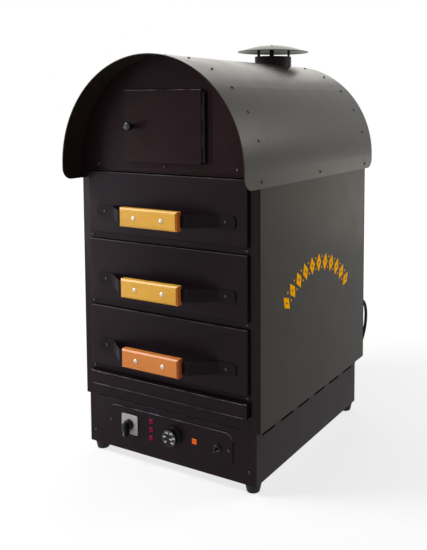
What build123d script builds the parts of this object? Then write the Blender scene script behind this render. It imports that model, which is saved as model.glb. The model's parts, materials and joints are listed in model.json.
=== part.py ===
from build123d import *
import math
import os

# Baked potato oven: a sheet steel cabinet with three sliding drawers, a rolled roof over
# a warming compartment with a hinged hatch, a base that holds the controls, and a short chimney.
# Millimetres. X runs to the right, Y to the back and Z up. The modelling plane Y = 0 is the
# face of the cabinet's stiles. Each piece is moved by ORIGIN_SHIFT when it is saved, so that
# the saved origin is on the floor under the middle of the oven.

# ---------------------------------------------------------------- driving dimensions
WIDTH = 500.0            # over the side panels
DEPTH = 583.0            # stile face to rear panel
SHEET = 1.5              # cabinet steel
FIT = 0.3                # gap between pieces that are only laid together
SLIP = 0.1               # gap round a sheet that is slipped between two others
RUN = 1.5                # gap round a sliding piece
FOOT_HEIGHT = 22.0
FOOT_TOP_D = 38.0
FOOT_TIP_D = 30.0
FOOT_INSET = 20.0        # foot axis from the side of the base
FOOT_SETBACK = 22.0      # and from its front and back
BASE_HEIGHT = 122.0
BASE_SIDE_INSET = 11.0
BASE_REAR_INSET = 30.0
BASE_FRONT_SET = 1.0     # base face behind the stile face
BASE_RETURN = 27.0       # front flange of the base shell
BAY_PITCH = 163.0        # from one drawer rail to the next
BAYS = 3
RAIL_HEIGHT = 14.0
LOW_RAIL_Z = 218.0       # middle of the lowest drawer rail
STILE = 24.0             # visible width of each stile
REAR_FLANGE = 14.0
FRONT_PROUD = 8.0        # drawer fronts stand out of the stiles
FRONT_INSIDE = 14.0      # and reach in between them
PAN_BEND = 2.0
LIP_LINE = 3.0           # small turned-out edge on fixed front panels
LIP_END = 16.0           # those edges stop short of the stiles

# Roof
ARCH_RISE = 14.0         # spring line above the top of the side panels
CANOPY_SHEET = 2.0
CANOPY_FRONT = 64.0      # overhang in front of the stile face
CANOPY_REAR = 45.0
SKIRT_LAP = 22.0         # skirt over the side panels
SKIRT_CORNER_R = 28.0
RIM = 15.0               # depth of the arch panels' screw flange
SCREW_PITCH_DEG = 15.0
ROW_INSET = 6.5          # screw row behind the stile face
ARCH_LIP = 5.0           # turned-out bottom edge of the front arch panel
DECK_FLANGE = 22.0       # front upstand of the compartment floor

# Hatch
HATCH_W = 216.0
HATCH_H = 165.0
HATCH_SILL = 23.5        # bottom of the hatch above the side panels
HATCH_PROUD = 10.0
HATCH_LAP = 10.0         # hatch over the edge of its opening
KNUCKLE_D = 8.0
HINGE_PIN_D = 3.0
PIN_PLAY = 0.05          # radial
LEAF = 1.2
LEAF_W = 14.0
KNUCKLES = 5
KNOB_D = 17.0
KNOB_REACH = 30.0
KNOB_STEM_D = 9.0
KNOB_FROM_EDGE = 29.0

# Oven chamber and compartment
SIDE_WALL = 38.0         # outer face to oven chamber, at the sides
REAR_WALL = 53.0         # and at the back
LINER_FLANGE = 27.0
REAR_WOOL = 29.0         # blanket behind the chamber
DUCT_W = 42.0            # cable duct in the right rear corner
DUCT_D = 44.0
ROOF_WOOL = 15.3         # blanket over the warming compartment
LOFT_SHEET = 1.2
WOOL_GAP = 3.0

# Drawers
TRAY_GAP = 14.0          # tray side to chamber side
TRAY_END_GAP = 34.8      # tray end to chamber back
TRAY_HEIGHT = 95.0
TRAY_SHEET = 1.2
TRAY_DROP = 62.0         # tray floor under the middle of the drawer front
TRAY_FLANGE = 8.0
TRAY_SLOTS = 7
TRAY_SLOT_W = 10.0
TRAY_SLOT_L = 300.0
RUNNER_LEG = 20.0
RUNNER_SHEET = 1.5
CRUMB_DEPTH = 20.0
CRUMB_END_GAP = 44.8
CRUMB_GAP = 4.0
CRUMB_FRONT_H = 33.0
CRUMB_PROUD = 12.0       # its front ahead of the stiles
CRUMB_LIP_INSET = 8.5    # turned-out edges stop short of the ends

# Handles
HANDLE_DROP = 21.0       # grip centre under the middle of the drawer front
GRIP_L = 160.0
GRIP_H = 43.0
GRIP_T = 17.0
GRIP_CHAMFER = 3.5
STRAP_H = 28.0
STRAP_T = 3.0
STANDOFF = 41.0          # clear finger space behind the grip
STRAP_INSET = 28.0       # end of each foot from the side of the drawer front
STRAP_FOOT_L = 45.0      # foot up to its bend
STRAP_KNEE = 18.0        # bend beyond the end of the grip
STRAP_R = 9.0
STRAP_SCREW = 25.0       # screw from the end of the foot
GRIP_SCREW_X = 38.0

# Heating elements
ELEMENT_D = 8.0
ELEMENT_DROP = 82.0      # element plane under the middle of the drawer front
ELEMENT_MARGIN = 62.0    # outer leg from the chamber side
ELEMENT_FRONT = 90.0
ELEMENT_LOOP = 60.0      # spacing of the inner legs
ELEMENT_BEND_R = 24.0
ELEMENT_TERMINAL = 15.5  # stub behind the flange plate
ELEMENT_PLATE_H = 30.0

# Controls, on one line across the base
CONTROL_Z = 90.0
PLATE_W = 360.0
PLATE_H = 78.0
PLATE_T = 2.0
PLATE_CORNER_R = 20.0
PLATE_WINDOW = 14.0      # margin of the base panel's window inside the plate
PLATE_SCREW_INSET = 10.0
SWITCH_X = -112.0
SWITCH_SQUARE = 48.0
SWITCH_T = 2.0
SWITCH_HUB_D = 26.0
SWITCH_HUB_T = 9.0
SWITCH_BAR_UP = 10.0      # grip bar above and below the axis at rest
SWITCH_BAR_DOWN = 24.0
SWITCH_BAR_W = 11.0
SWITCH_REACH = 22.0
SWITCH_SHAFT_D = 6.0
SWITCH_DEEP = 44.0
LAMP_X = -47.0
LAMP = 11.0
LAMP_PITCH = 20.4
LAMP_PROUD = 1.5
LAMP_DEEP = 22.0
DIAL_X = 17.0
DIAL_D = 42.4
DIAL_T = 17.7
DIAL_TAPER = 1.5
DIAL_SHAFT_D = 6.0
THERMOSTAT_W = 44.0
THERMOSTAT_H = 32.0
THERMOSTAT_DEEP = 38.0
NEON_X = 77.0
NEON = 12.5
TOGGLE_X = 140.0
TOGGLE_NUT_D = 17.0
TOGGLE_NUT_T = 3.0
TOGGLE_BUSH_D = 12.0
TOGGLE_BORE_D = 8.4
TOGGLE_PIN_D = 2.0
TOGGLE_TILT = 14.0       # lever from the level at each end of its throw
TOGGLE_LEVER_L = 16.0
TOGGLE_DEEP = 24.0
CAPILLARY_D = 2.4
CAPILLARY_X = 60.0
CAPILLARY_Z = 60.0       # its run through the base
CAPILLARY_SET = 11.0     # behind the chamber
CAPILLARY_R = 20.0
BULB_D = 6.0
BULB_L = 90.0
BULB_Z = 355.0

# Mains terminal block
BLOCK_W = 60.0
BLOCK_D = 28.0
BLOCK_H = 20.0
BLOCK_EAR = 4.5          # fixing ears
BLOCK_WELL_D = 8.0
BLOCK_INSET = 42.0       # from the side and back of the base
POLES = 3

# Vent slots in the base
SLOTS = 6
SLOT_L = 60.0
SLOT_H = 4.5
SLOT_INSET = 57.0        # first slot's middle from the front of the base
SLOT_DROP = 14.0         # slot line under the top of the base

# Chimney
FLUE_INSET = 78.0        # axis in front of the rear panel
FLUE_D = 103.0
FLUE_T = 1.5
FLUE_TOP = 23.0          # collar above the roof crest
FLUE_TAIL = 8.0          # collar below the compartment liner
CAP_D = 200.0
CAP_RISE = 20.0
CAP_T = 1.2
CAP_GAP = 12.0           # rim above the collar
STRUT_W = 12.0
STRUT_T = 1.5
STRUT_LAP = 14.0
STRUTS = 3
STRUT_START_DEG = -65.0

# Screws
SCREW_D = 4.0
SCREW_PLAY = 0.15        # radial
HEAD_D = 7.5
GRIP_HEAD_D = 10.0
HEAD_T = 2.4

# Mains lead
CORD_D = 9.0
GLAND_INSET = 24.5       # gland axis from the inside of the right side panel
GLAND_Z = 290.0
GLAND_NUT_D = 22.0
GLAND_NUT_T = 8.0
GLAND_SLEEVE = 26.0
GLAND_TIP_D = 12.0
GLAND_TAIL = 12.0
COIL_X = 62.0
COIL_Y = 662.0
COIL_MID_R = 50.0
COIL_W = 27.0
COIL_H = 17.0
COIL_STUB = 38.0
COIL_TAIL_D = 8.6        # the tails sit just inside the coil's outline
PLUG_W = 50.0
PLUG_L = 46.0
PLUG_T = 24.0

# ---------------------------------------------------------------- derived places
HALF = WIDTH / 2
INNER = HALF - SHEET
CABINET_Z = FOOT_HEIGHT + BASE_HEIGHT
SIDE_TOP = LOW_RAIL_Z + BAYS * BAY_PITCH - RAIL_HEIGHT / 2 + 2
ARCH_Z = SIDE_TOP + ARCH_RISE
CANOPY_IN = HALF + FIT
GLAND_X = INNER - GLAND_INSET
CANOPY_OUT = CANOPY_IN + CANOPY_SHEET
CREST = ARCH_Z + CANOPY_OUT
OPENING = HALF - STILE
FRONT_HALF = OPENING - 2 * RUN
FRONT_HEIGHT = BAY_PITCH - RAIL_HEIGHT - 2 * RUN
BACKING = FRONT_INSIDE + TRAY_SHEET
CHAMBER = HALF - SIDE_WALL
CHAMBER_BACK = DEPTH - REAR_WALL
LOFT_R = CANOPY_IN - WOOL_GAP - ROOF_WOOL
FLUE_BACK = DEPTH - FLUE_INSET
TRAY_HALF = CHAMBER - TRAY_GAP
TRAY_BACK = CHAMBER_BACK - TRAY_END_GAP
FLOOR_TOP = CABINET_Z + SHEET
BASE_HALF = HALF - BASE_SIDE_INSET
BASE_BACK = DEPTH - BASE_REAR_INSET
STRAP_FOOT_X = FRONT_HALF - STRAP_INSET
STRAP_BEND_X = STRAP_FOOT_X - STRAP_FOOT_L
STRAP_KNEE_X = GRIP_L / 2 + STRAP_KNEE
FOOT_SCREW_X = STRAP_FOOT_X - STRAP_SCREW
ELEMENT_HALF_W = CHAMBER - ELEMENT_MARGIN
PLATE_SCREW_X = PLATE_W / 2 - PLATE_SCREW_INSET
GRIP_BACK = -FRONT_PROUD - STANDOFF
GRIP_FRONT = GRIP_BACK - GRIP_T
LOW_RAIL_TOP = LOW_RAIL_Z - RAIL_HEIGHT / 2 - RUN - CRUMB_FRONT_H - RUN
FRONT_REACH = -GRIP_FRONT + HEAD_T
REAR_REACH = DEPTH + CANOPY_REAR
ORIGIN_SHIFT = (FRONT_REACH - REAR_REACH) / 2
BAY_Z = [LOW_RAIL_Z + BAY_PITCH * (BAYS - k - 0.5) for k in range(BAYS)]

os.makedirs("parts", exist_ok=True)


def save(node, *solids):
    """Writes one node: its solids, moved so that the origin is under the oven's middle."""
    placed = [piece.moved(Location((0, ORIGIN_SHIFT, 0))) for s in solids for piece in s.solids()]
    shape = placed[0] if len(placed) == 1 else Compound(children=placed)
    shape.label = node
    export_step(shape, f"parts/{node}.step")


def block(x0, x1, y0, y1, z0, z1):
    """Box between two corners."""
    centre = Pos((x0 + x1) / 2, (y0 + y1) / 2, (z0 + z1) / 2)
    return centre * Box(abs(x1 - x0), abs(y1 - y0), abs(z1 - z0))


def rod(x, z, y0, y1, diameter):
    """Cylinder along Y from y0 back to y1."""
    return Pos(x, (y0 + y1) / 2, z) * Rot(90, 0, 0) * Cylinder(diameter / 2, abs(y1 - y0))


def folded(points, z0, z1, thickness=SHEET, radius=None):
    """Upright folded sheet: a centre line seen from above, with one bend radius."""
    line = FilletPolyline(*points, radius=radius or 1.5 * thickness)
    return Pos(0, 0, z0) * extrude(trace(line, thickness), z1 - z0)


def front_screw(x, z, face, grip, head_d=HEAD_D):
    """Button-head screw driven from the front into a face at y = face."""
    head = Pos(x, face - HEAD_T / 2, z) * Rot(90, 0, 0) * Cone(head_d / 2, head_d / 3, HEAD_T)
    return head + rod(x, z, face - 0.01, face + grip, SCREW_D)


def plate_between(half, y0, y1, z):
    """Sheet laid inside a folded skin, with its corners nipped off to clear the bends."""
    plate = block(-half, half, y0, y1, z, z + SHEET)
    return chamfer(plate.edges().filter_by(Axis.Z), 2 * SHEET)


def front_hole(x, z, y0, y1):
    return rod(x, z, y0, y1, SCREW_D + 2 * SCREW_PLAY)


# ---------------------------------------------------------------- cabinet skins
SKIRT_SCREW_Z = SIDE_TOP - SKIRT_LAP + 14
SKIRT_SCREW_Y = [ROW_INSET, DEPTH / 2, DEPTH - ROW_INSET]


def side_screw_hole(side, y, z):
    return Pos(side * HALF, y, z) * Rot(0, 90, 0) * Cylinder(SCREW_D / 2 + SCREW_PLAY, 30)


def side_panel(side):
    """Side skin, folded round the front as a stile and round the back as a flange."""
    mid = SHEET / 2
    points = [
        (side * OPENING, mid),
        (side * (HALF - mid), mid),
        (side * (HALF - mid), DEPTH - SHEET - mid),
        (side * (HALF - REAR_FLANGE), DEPTH - SHEET - mid),
    ]
    panel = folded(points, CABINET_Z, SIDE_TOP)
    for y in SKIRT_SCREW_Y:
        panel -= side_screw_hole(side, y, SKIRT_SCREW_Z)
    for z in REAR_SCREW_Z:
        panel -= front_hole(side * REAR_SCREW_X, z, DEPTH - 3 * SHEET, DEPTH)
    return panel


REAR_SCREW_X = HALF - REAR_FLANGE / 2
REAR_SCREW_Z = [CABINET_Z + 40, (CABINET_Z + SIDE_TOP) / 2, SIDE_TOP - 40]


def rear_panel():
    """Flat back of the cabinet with the cable gland's hole."""
    panel = block(-HALF, HALF, DEPTH - SHEET, DEPTH, CABINET_Z, SIDE_TOP)
    for side in (-1, 1):
        for z in REAR_SCREW_Z:
            panel -= front_hole(side * REAR_SCREW_X, z, DEPTH - 3 * SHEET, DEPTH + 1)
    return panel - rod(GLAND_X, GLAND_Z, DEPTH - 5, DEPTH + 5, GLAND_TIP_D + 2 * SCREW_PLAY)


# ---------------------------------------------------------------- roof
def arch_face(radius, legs):
    """Face seen from the front: a half round over straight legs, at y = 0."""
    arch = Circle(radius) & Pos(0, radius / 2) * Rectangle(2 * radius, radius)
    face = arch + Pos(0, -legs / 2) * Rectangle(2 * radius, legs)
    return Plane(origin=(0, 0, ARCH_Z), x_dir=(1, 0, 0), z_dir=(0, -1, 0)) * face


def arch_body(radius, legs, y0, y1):
    return Pos(0, y1, 0) * extrude(arch_face(radius, legs), y1 - y0)


def around_roof(angle, y, radius):
    """Place on the roof: local Z points out of the roof at an angle from the right spring line."""
    a = math.radians(angle)
    x, z = radius * math.cos(a), ARCH_Z + radius * math.sin(a)
    return Location((x, y, z)) * Rot(0, 90 - angle, 0)


ROW_ANGLES = [SCREW_PITCH_DEG * k for k in range(1, int(180 / SCREW_PITCH_DEG))]
ROW_Y = [ROW_INSET, DEPTH - ROW_INSET]
ROOF_HOLE = Cylinder(SCREW_D / 2 + SCREW_PLAY, 12)


def canopy_corner(y, z, towards_front):
    """Waste outside the rounded lower corner of both skirts."""
    r = SKIRT_CORNER_R
    y0, y1 = (y, y + r) if towards_front else (y - r, y)
    square = block(-WIDTH, WIDTH, y0, y1, z, z + r)
    centre_y = y + r if towards_front else y - r
    round_part = Pos(0, centre_y, z + r) * Rot(0, 90, 0) * Cylinder(r, 2 * WIDTH)
    return square - round_part


def roof_canopy():
    """Rolled sheet with straight skirts, longer than the cabinet at both ends."""
    legs = ARCH_RISE + SKIRT_LAP
    y0, y1 = -CANOPY_FRONT, DEPTH + CANOPY_REAR
    shell = arch_body(CANOPY_OUT, legs, y0, y1) - arch_body(CANOPY_IN, legs + 1, y0 - 1, y1 + 1)
    bottom = SIDE_TOP - SKIRT_LAP
    shell -= canopy_corner(y0, bottom, True)
    shell -= canopy_corner(y1, bottom, False)
    for y in ROW_Y:
        for angle in ROW_ANGLES:
            shell -= around_roof(angle, y, CANOPY_OUT) * ROOF_HOLE
    for side in (-1, 1):
        for y in SKIRT_SCREW_Y:
            shell -= side_screw_hole(side, y, SKIRT_SCREW_Z)
    return shell - Pos(0, FLUE_BACK, CREST) * Cylinder(FLUE_D / 2 + FIT, 80)


def arch_panel(face_y, inward):
    """D-shaped end panel with a screw flange turned in along the roof."""
    flat_y = (face_y, face_y + SHEET) if inward > 0 else (face_y - SHEET, face_y)
    deep_y = (face_y, face_y + RIM) if inward > 0 else (face_y - RIM, face_y)
    panel = arch_body(HALF, ARCH_RISE, *flat_y)
    rim = arch_body(HALF, ARCH_RISE, *deep_y) - arch_body(INNER, ARCH_RISE + 1, *deep_y)
    panel += rim
    row = ROW_Y[0] if inward > 0 else ROW_Y[1]
    for angle in ROW_ANGLES:
        panel -= around_roof(angle, row, CANOPY_OUT) * ROOF_HOLE
    return panel


HATCH_Z0 = SIDE_TOP + HATCH_SILL
HATCH_Z1 = HATCH_Z0 + HATCH_H
ARCH_SCREW_X = [-0.78 * HALF, 0, 0.78 * HALF]
ARCH_SCREW_Z = SIDE_TOP + RIM


def front_arch_panel():
    """Front end of the roof: hatch opening, turned-out bottom edge and three screw holes."""
    panel = arch_panel(0, 1)
    half_w = HATCH_W / 2 - HATCH_LAP
    panel -= block(-half_w, half_w, -1, 5, HATCH_Z0 + HATCH_LAP, HATCH_Z1 - HATCH_LAP)
    lip_half = OPENING - LIP_END
    panel += block(-lip_half, lip_half, -ARCH_LIP, SHEET, SIDE_TOP, SIDE_TOP + SHEET)
    for x in ARCH_SCREW_X:
        panel -= front_hole(x, ARCH_SCREW_Z, -1, 5)
    return panel


def compartment_floor():
    """Floor of the warming compartment, turned up behind the front arch panel."""
    half = INNER - SLIP
    deck = plate_between(half, SHEET, DEPTH - 2 * SHEET - SLIP, SIDE_TOP - SHEET)
    half_flange = INNER - RIM
    deck += block(-half_flange, half_flange, SHEET, 2 * SHEET, SIDE_TOP - SHEET, SIDE_TOP + DECK_FLANGE)
    for x in ARCH_SCREW_X:
        deck -= front_hole(x, ARCH_SCREW_Z, 0, 5)
    return deck


LOFT_Y = (RIM + FIT, DEPTH - RIM - FIT)
FLUE_HOLE = Pos(0, FLUE_BACK, CREST) * Cylinder(FLUE_D / 2 + FIT, 120)


def compartment_liner():
    """Arched inner skin of the warming compartment, standing on its floor."""
    legs = ARCH_RISE
    skin = arch_body(LOFT_R, legs, *LOFT_Y)
    return skin - arch_body(LOFT_R - LOFT_SHEET, legs + 1, LOFT_Y[0] - 1, LOFT_Y[1] + 1) - FLUE_HOLE


def roof_wool():
    """Blanket between the arched liner and the canopy."""
    y0, y1 = LOFT_Y
    outer = arch_body(CANOPY_IN - WOOL_GAP, ARCH_RISE, y0, y1)
    return outer - arch_body(LOFT_R + FIT, ARCH_RISE + 1, y0 - 1, y1 + 1) - FLUE_HOLE


# ---------------------------------------------------------------- front frame
def drawer_rail(z):
    """Channel between two drawer bays, open at the back, screwed to the liner's flange."""
    half = OPENING - 2 * SLIP
    rail = block(-half, half, 0, LINER_FRONT, z - RAIL_HEIGHT / 2, z + RAIL_HEIGHT / 2)
    core = block(-WIDTH, WIDTH, SHEET, LINER_FRONT + 1, z - RAIL_HEIGHT / 2 + SHEET,
                 z + RAIL_HEIGHT / 2 - SHEET)
    rail -= core
    for side in (-1, 1):
        rail -= front_hole(side * FRAME_SCREW_X, z, -1, SHEET + 1)
    return rail


FRAME_SCREW_X = OPENING - 8
RAIL_Z = [LOW_RAIL_Z + BAY_PITCH * k for k in range(BAYS)]


def lower_front_rail():
    """Sill under the crumb tray, turned in at the bottom and out at its top edge."""
    half = OPENING - 2 * SLIP
    sill = block(-half, half, 0, SHEET, CABINET_Z, LOW_RAIL_TOP)
    sill += block(-half, half, 0, LINER_FRONT, LOW_RAIL_TOP - SHEET, LOW_RAIL_TOP)
    lip_half = OPENING - LIP_END
    return sill + block(-lip_half, lip_half, -LIP_LINE, 0, LOW_RAIL_TOP - SHEET, LOW_RAIL_TOP)


def cabinet_floor():
    """Floor plate between the cabinet and the base."""
    deck = plate_between(INNER - SLIP, SHEET + SLIP, DEPTH - 2 * SHEET - SLIP, CABINET_Z)
    deck -= Pos(CAPILLARY_X, CAPILLARY_Y, CABINET_Z) * Cylinder(CAPILLARY_D, 10)
    half_duct = CHAMBER + 8
    return deck - block(half_duct, half_duct + 20, BASE_BACK - 30, BASE_BACK - 8, 0, FLOOR_TOP + 5)


# ---------------------------------------------------------------- oven chamber
LINER_FRONT = BACKING + FIT
WOOL_FRONT = DEPTH - 2 * SHEET - WOOL_GAP - REAR_WOOL
CAPILLARY_Y = CHAMBER_BACK + CAPILLARY_SET


def oven_liner():
    """Inner skin round the drawers: both sides and the back, with front flanges."""
    mid = SHEET / 2
    x = CHAMBER + mid
    points = [
        (-CHAMBER - LINER_FLANGE, LINER_FRONT + mid),
        (-x, LINER_FRONT + mid),
        (-x, CHAMBER_BACK + mid),
        (x, CHAMBER_BACK + mid),
        (x, LINER_FRONT + mid),
        (CHAMBER + LINER_FLANGE, LINER_FRONT + mid),
    ]
    skin = folded(points, FLOOR_TOP, SIDE_TOP - SHEET)
    for z in RAIL_Z:
        for side in (-1, 1):
            skin -= front_hole(side * FRAME_SCREW_X, z, LINER_FRONT - 1, LINER_FRONT + 5)
    for bay in BAY_Z:
        for side in (-1, 1):
            skin -= rod(side * ELEMENT_HALF_W, bay - ELEMENT_DROP, CHAMBER_BACK - 5,
                        CHAMBER_BACK + 5, ELEMENT_D + 2)
    return skin - rod(CAPILLARY_X, BULB_Z, CHAMBER_BACK - 5, CHAMBER_BACK + 5, BULB_D + 1)


def oven_wool():
    """Insulation round the sides and back of the liner, with a cable duct in one corner."""
    x_in = CHAMBER + SHEET + FIT
    x_out = INNER - WOOL_GAP
    y0 = LINER_FRONT + SHEET + WOOL_GAP
    y1 = DEPTH - 2 * SHEET - WOOL_GAP
    z0, z1 = FLOOR_TOP + FIT, SIDE_TOP - SHEET - 2 * FIT
    wool = block(-x_out, x_out, y0, y1, z0, z1)
    wool -= block(-x_in, x_in, y0 - 1, WOOL_FRONT, z0 - 1, z1 + 1)
    return wool - block(HALF - DUCT_W, WIDTH, y1 - DUCT_D, DEPTH, z0 - 1, z1 + 1)


RUNNER_Z = [bay - TRAY_DROP - FIT for bay in BAY_Z]
CRUMB_Z = LOW_RAIL_Z - RAIL_HEIGHT / 2 - RUN - CRUMB_FRONT_H + 4


def runner(side, top):
    """Angle fixed to the liner; its flat leg carries the edge of a tray."""
    y0, y1 = LINER_FRONT + 12, CHAMBER_BACK - 20
    outer = side * CHAMBER
    upright = block(outer, outer - side * RUNNER_SHEET, y0, y1, top - RUNNER_LEG, top)
    flat = block(outer, outer - side * RUNNER_LEG, y0, y1, top - RUNNER_SHEET, top)
    return upright + flat


def heating_element(bay):
    """Tubular element: one rod bent into three loops, brazed into a plate behind the liner."""
    z = bay - ELEMENT_DROP
    back = CHAMBER_BACK - 40
    outer, inner = ELEMENT_HALF_W, ELEMENT_LOOP / 2
    tail = CHAMBER_BACK + SHEET + ELEMENT_TERMINAL
    gap = (outer - inner) / 2 + inner
    points = [
        (-outer, tail, z), (-outer, ELEMENT_FRONT, z), (-gap, ELEMENT_FRONT, z),
        (-gap, back, z), (-inner, back, z), (-inner, ELEMENT_FRONT, z),
        (inner, ELEMENT_FRONT, z), (inner, back, z), (gap, back, z),
        (gap, ELEMENT_FRONT, z), (outer, ELEMENT_FRONT, z), (outer, tail, z),
    ]
    path = FilletPolyline(*points, radius=ELEMENT_BEND_R)
    tube = sweep(Plane(origin=path @ 0, z_dir=path % 0) * Circle(ELEMENT_D / 2), path)
    plate_y = CHAMBER_BACK + SHEET
    for side in (-1, 1):
        tube += block(side * (outer - 12), side * (outer + 12), plate_y, plate_y + 2,
                      z - ELEMENT_PLATE_H / 2, z + ELEMENT_PLATE_H / 2)
    return tube


# ---------------------------------------------------------------- base
SLOT_Z = CABINET_Z - SLOT_DROP
SLOT_PITCH = (BASE_BACK - BASE_FRONT_SET - 2 * SLOT_INSET) / (SLOTS - 1)
SLOT_Y0 = BASE_FRONT_SET + SLOT_INSET
BASE_SCREW_X = BASE_HALF - 17
BASE_SCREW_Z = FOOT_HEIGHT + 30


def base_shell():
    """Sides and back of the base in one folded sheet, with a row of vent slots each side."""
    mid = SHEET / 2
    front = BASE_FRONT_SET + SHEET + mid
    x, y = BASE_HALF - mid, BASE_BACK - mid
    points = [
        (-BASE_HALF + BASE_RETURN, front), (-x, front), (-x, y),
        (x, y), (x, front), (BASE_HALF - BASE_RETURN, front),
    ]
    shell = folded(points, FOOT_HEIGHT, CABINET_Z)
    for k in range(SLOTS):
        slot = Plane.YZ * SlotOverall(SLOT_L, SLOT_H)
        shell -= Pos(0, SLOT_Y0 + k * SLOT_PITCH, SLOT_Z) * extrude(slot, WIDTH, both=True)
    for side in (-1, 1):
        shell -= front_hole(side * BASE_SCREW_X, BASE_SCREW_Z, 0, 6)
    return shell


def base_front_panel():
    """Front of the base: a window behind the control plate and a turned-out top edge."""
    y0, y1 = BASE_FRONT_SET, BASE_FRONT_SET + SHEET
    panel = block(-BASE_HALF, BASE_HALF, y0, y1, FOOT_HEIGHT, CABINET_Z)
    half_w, half_h = PLATE_W / 2 - PLATE_WINDOW, PLATE_H / 2 - PLATE_WINDOW
    panel -= block(-half_w, half_w, y0 - 1, y1 + 1, CONTROL_Z - half_h, CONTROL_Z + half_h)
    lip_half = OPENING - LIP_END
    panel += block(-lip_half, lip_half, y0 - LIP_LINE, y0, CABINET_Z - SHEET, CABINET_Z)
    for side in (-1, 1):
        panel -= front_hole(side * PLATE_SCREW_X, CONTROL_Z, -5, 6)
        panel -= front_hole(side * BASE_SCREW_X, BASE_SCREW_Z, -5, 6)
    return panel


def base_floor():
    """Bottom plate of the base, carrying the feet."""
    y0, y1 = BASE_FRONT_SET + 2 * SHEET + SLIP, BASE_BACK - SHEET - SLIP
    return plate_between(BASE_HALF - SHEET - SLIP, y0, y1, FOOT_HEIGHT)


FOOT_X = BASE_HALF - FOOT_INSET
FOOT_Y = (BASE_FRONT_SET + FOOT_SETBACK, BASE_BACK - FOOT_SETBACK)


def foot(x, y):
    """Moulded rubber foot: a tapered bumper with a rounded tread edge."""
    profile = Polyline((0, 0), (FOOT_TIP_D / 2 - 3, 0), (FOOT_TIP_D / 2, 3),
                       (FOOT_TOP_D / 2, FOOT_HEIGHT - 4), (FOOT_TOP_D / 2, FOOT_HEIGHT),
                       (0, FOOT_HEIGHT), close=True)
    return Pos(x, y, 0) * revolve(Plane.XZ * make_face(profile), Axis.Z)


# ---------------------------------------------------------------- controls
PLATE_FACE = BASE_FRONT_SET - PLATE_T


def square_rod(x, z, size, y0, y1):
    return block(x - size / 2, x + size / 2, y0, y1, z - size / 2, z + size / 2)


def control_plate():
    """Fascia with rounded corners, cut out for each control."""
    outline = RectangleRounded(PLATE_W, PLATE_H, PLATE_CORNER_R)
    plane = Plane(origin=(0, BASE_FRONT_SET, CONTROL_Z), x_dir=(1, 0, 0), z_dir=(0, -1, 0))
    plate = extrude(plane * outline, PLATE_T)
    y0, y1 = PLATE_FACE - 1, BASE_FRONT_SET + 1
    plate -= rod(SWITCH_X, CONTROL_Z, y0, y1, SWITCH_SHAFT_D + 4)
    plate -= rod(DIAL_X, CONTROL_Z, y0, y1, DIAL_SHAFT_D + 4)
    plate -= rod(TOGGLE_X, CONTROL_Z, y0, y1, TOGGLE_BUSH_D + 0.2)
    for k in (-1, 0, 1):
        plate -= square_rod(LAMP_X, CONTROL_Z + k * LAMP_PITCH, LAMP - 1.8, y0, y1)
    plate -= square_rod(NEON_X, CONTROL_Z, NEON - 1.8, y0, y1)
    for side in (-1, 1):
        plate -= front_hole(side * PLATE_SCREW_X, CONTROL_Z, y0, y1)
    return plate


def panel_lamp(x, z, size):
    """Square lens with its body clipped through the plate."""
    lens = square_rod(x, z, size, PLATE_FACE - LAMP_PROUD, PLATE_FACE)
    front = lens.faces().sort_by(Axis.Y)[0]
    lens = chamfer(front.edges(), 0.8)
    return lens + square_rod(x, z, size - 2, PLATE_FACE, PLATE_FACE + LAMP_DEEP)


def switch_escutcheon():
    """Square cover plate of the rotary switch."""
    plane = Plane(origin=(SWITCH_X, PLATE_FACE, CONTROL_Z), x_dir=(1, 0, 0), z_dir=(0, -1, 0))
    plate = extrude(plane * RectangleRounded(SWITCH_SQUARE, SWITCH_SQUARE, 3), SWITCH_T)
    return plate - rod(SWITCH_X, CONTROL_Z, PLATE_FACE - 5, 5, SWITCH_SHAFT_D + 4)


def switch_body():
    """Cam switch behind the panel: a stack of two cam decks on a square mounting deck."""
    y0 = BASE_FRONT_SET
    body = square_rod(SWITCH_X, CONTROL_Z, 42, y0, y0 + 8)
    body += square_rod(SWITCH_X, CONTROL_Z, 38, y0 + 8, y0 + SWITCH_DEEP)
    for k in (1, 2):
        y = y0 + 8 + k * 12
        ring = square_rod(SWITCH_X, CONTROL_Z, 44, y, y + 2)
        body -= ring - square_rod(SWITCH_X, CONTROL_Z, 35, y - 1, y + 3)
    return body


def switch_knob():
    """Round hub with a bar grip, on a shaft that reaches into the switch."""
    back = PLATE_FACE - SWITCH_T - FIT
    knob = rod(SWITCH_X, CONTROL_Z, back - SWITCH_HUB_T, back, SWITCH_HUB_D)
    bar = block(SWITCH_X - SWITCH_BAR_W / 2, SWITCH_X + SWITCH_BAR_W / 2, back - SWITCH_REACH,
                back - 1, CONTROL_Z - SWITCH_BAR_DOWN, CONTROL_Z + SWITCH_BAR_UP)
    ends = bar.edges().filter_by(Axis.Y)
    bar = fillet(ends, SWITCH_BAR_W / 2 - 0.6)
    return knob + bar + rod(SWITCH_X, CONTROL_Z, back, BASE_FRONT_SET - FIT, SWITCH_SHAFT_D)


def thermostat_dial():
    """Tapered dial with a raised grip rim, on its shaft."""
    back = PLATE_FACE - FIT
    r = DIAL_D / 2
    profile = Polyline((0, 0), (r, 0), (r - DIAL_TAPER, DIAL_T - 1), (r - DIAL_TAPER - 1, DIAL_T),
                       (0, DIAL_T), close=True)
    body = revolve(Plane.XZ * make_face(profile), Axis.Z)
    dial = Pos(DIAL_X, back, CONTROL_Z) * Rot(90, 0, 0) * body
    return dial + rod(DIAL_X, CONTROL_Z, back, BASE_FRONT_SET - FIT, DIAL_SHAFT_D)


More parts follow.
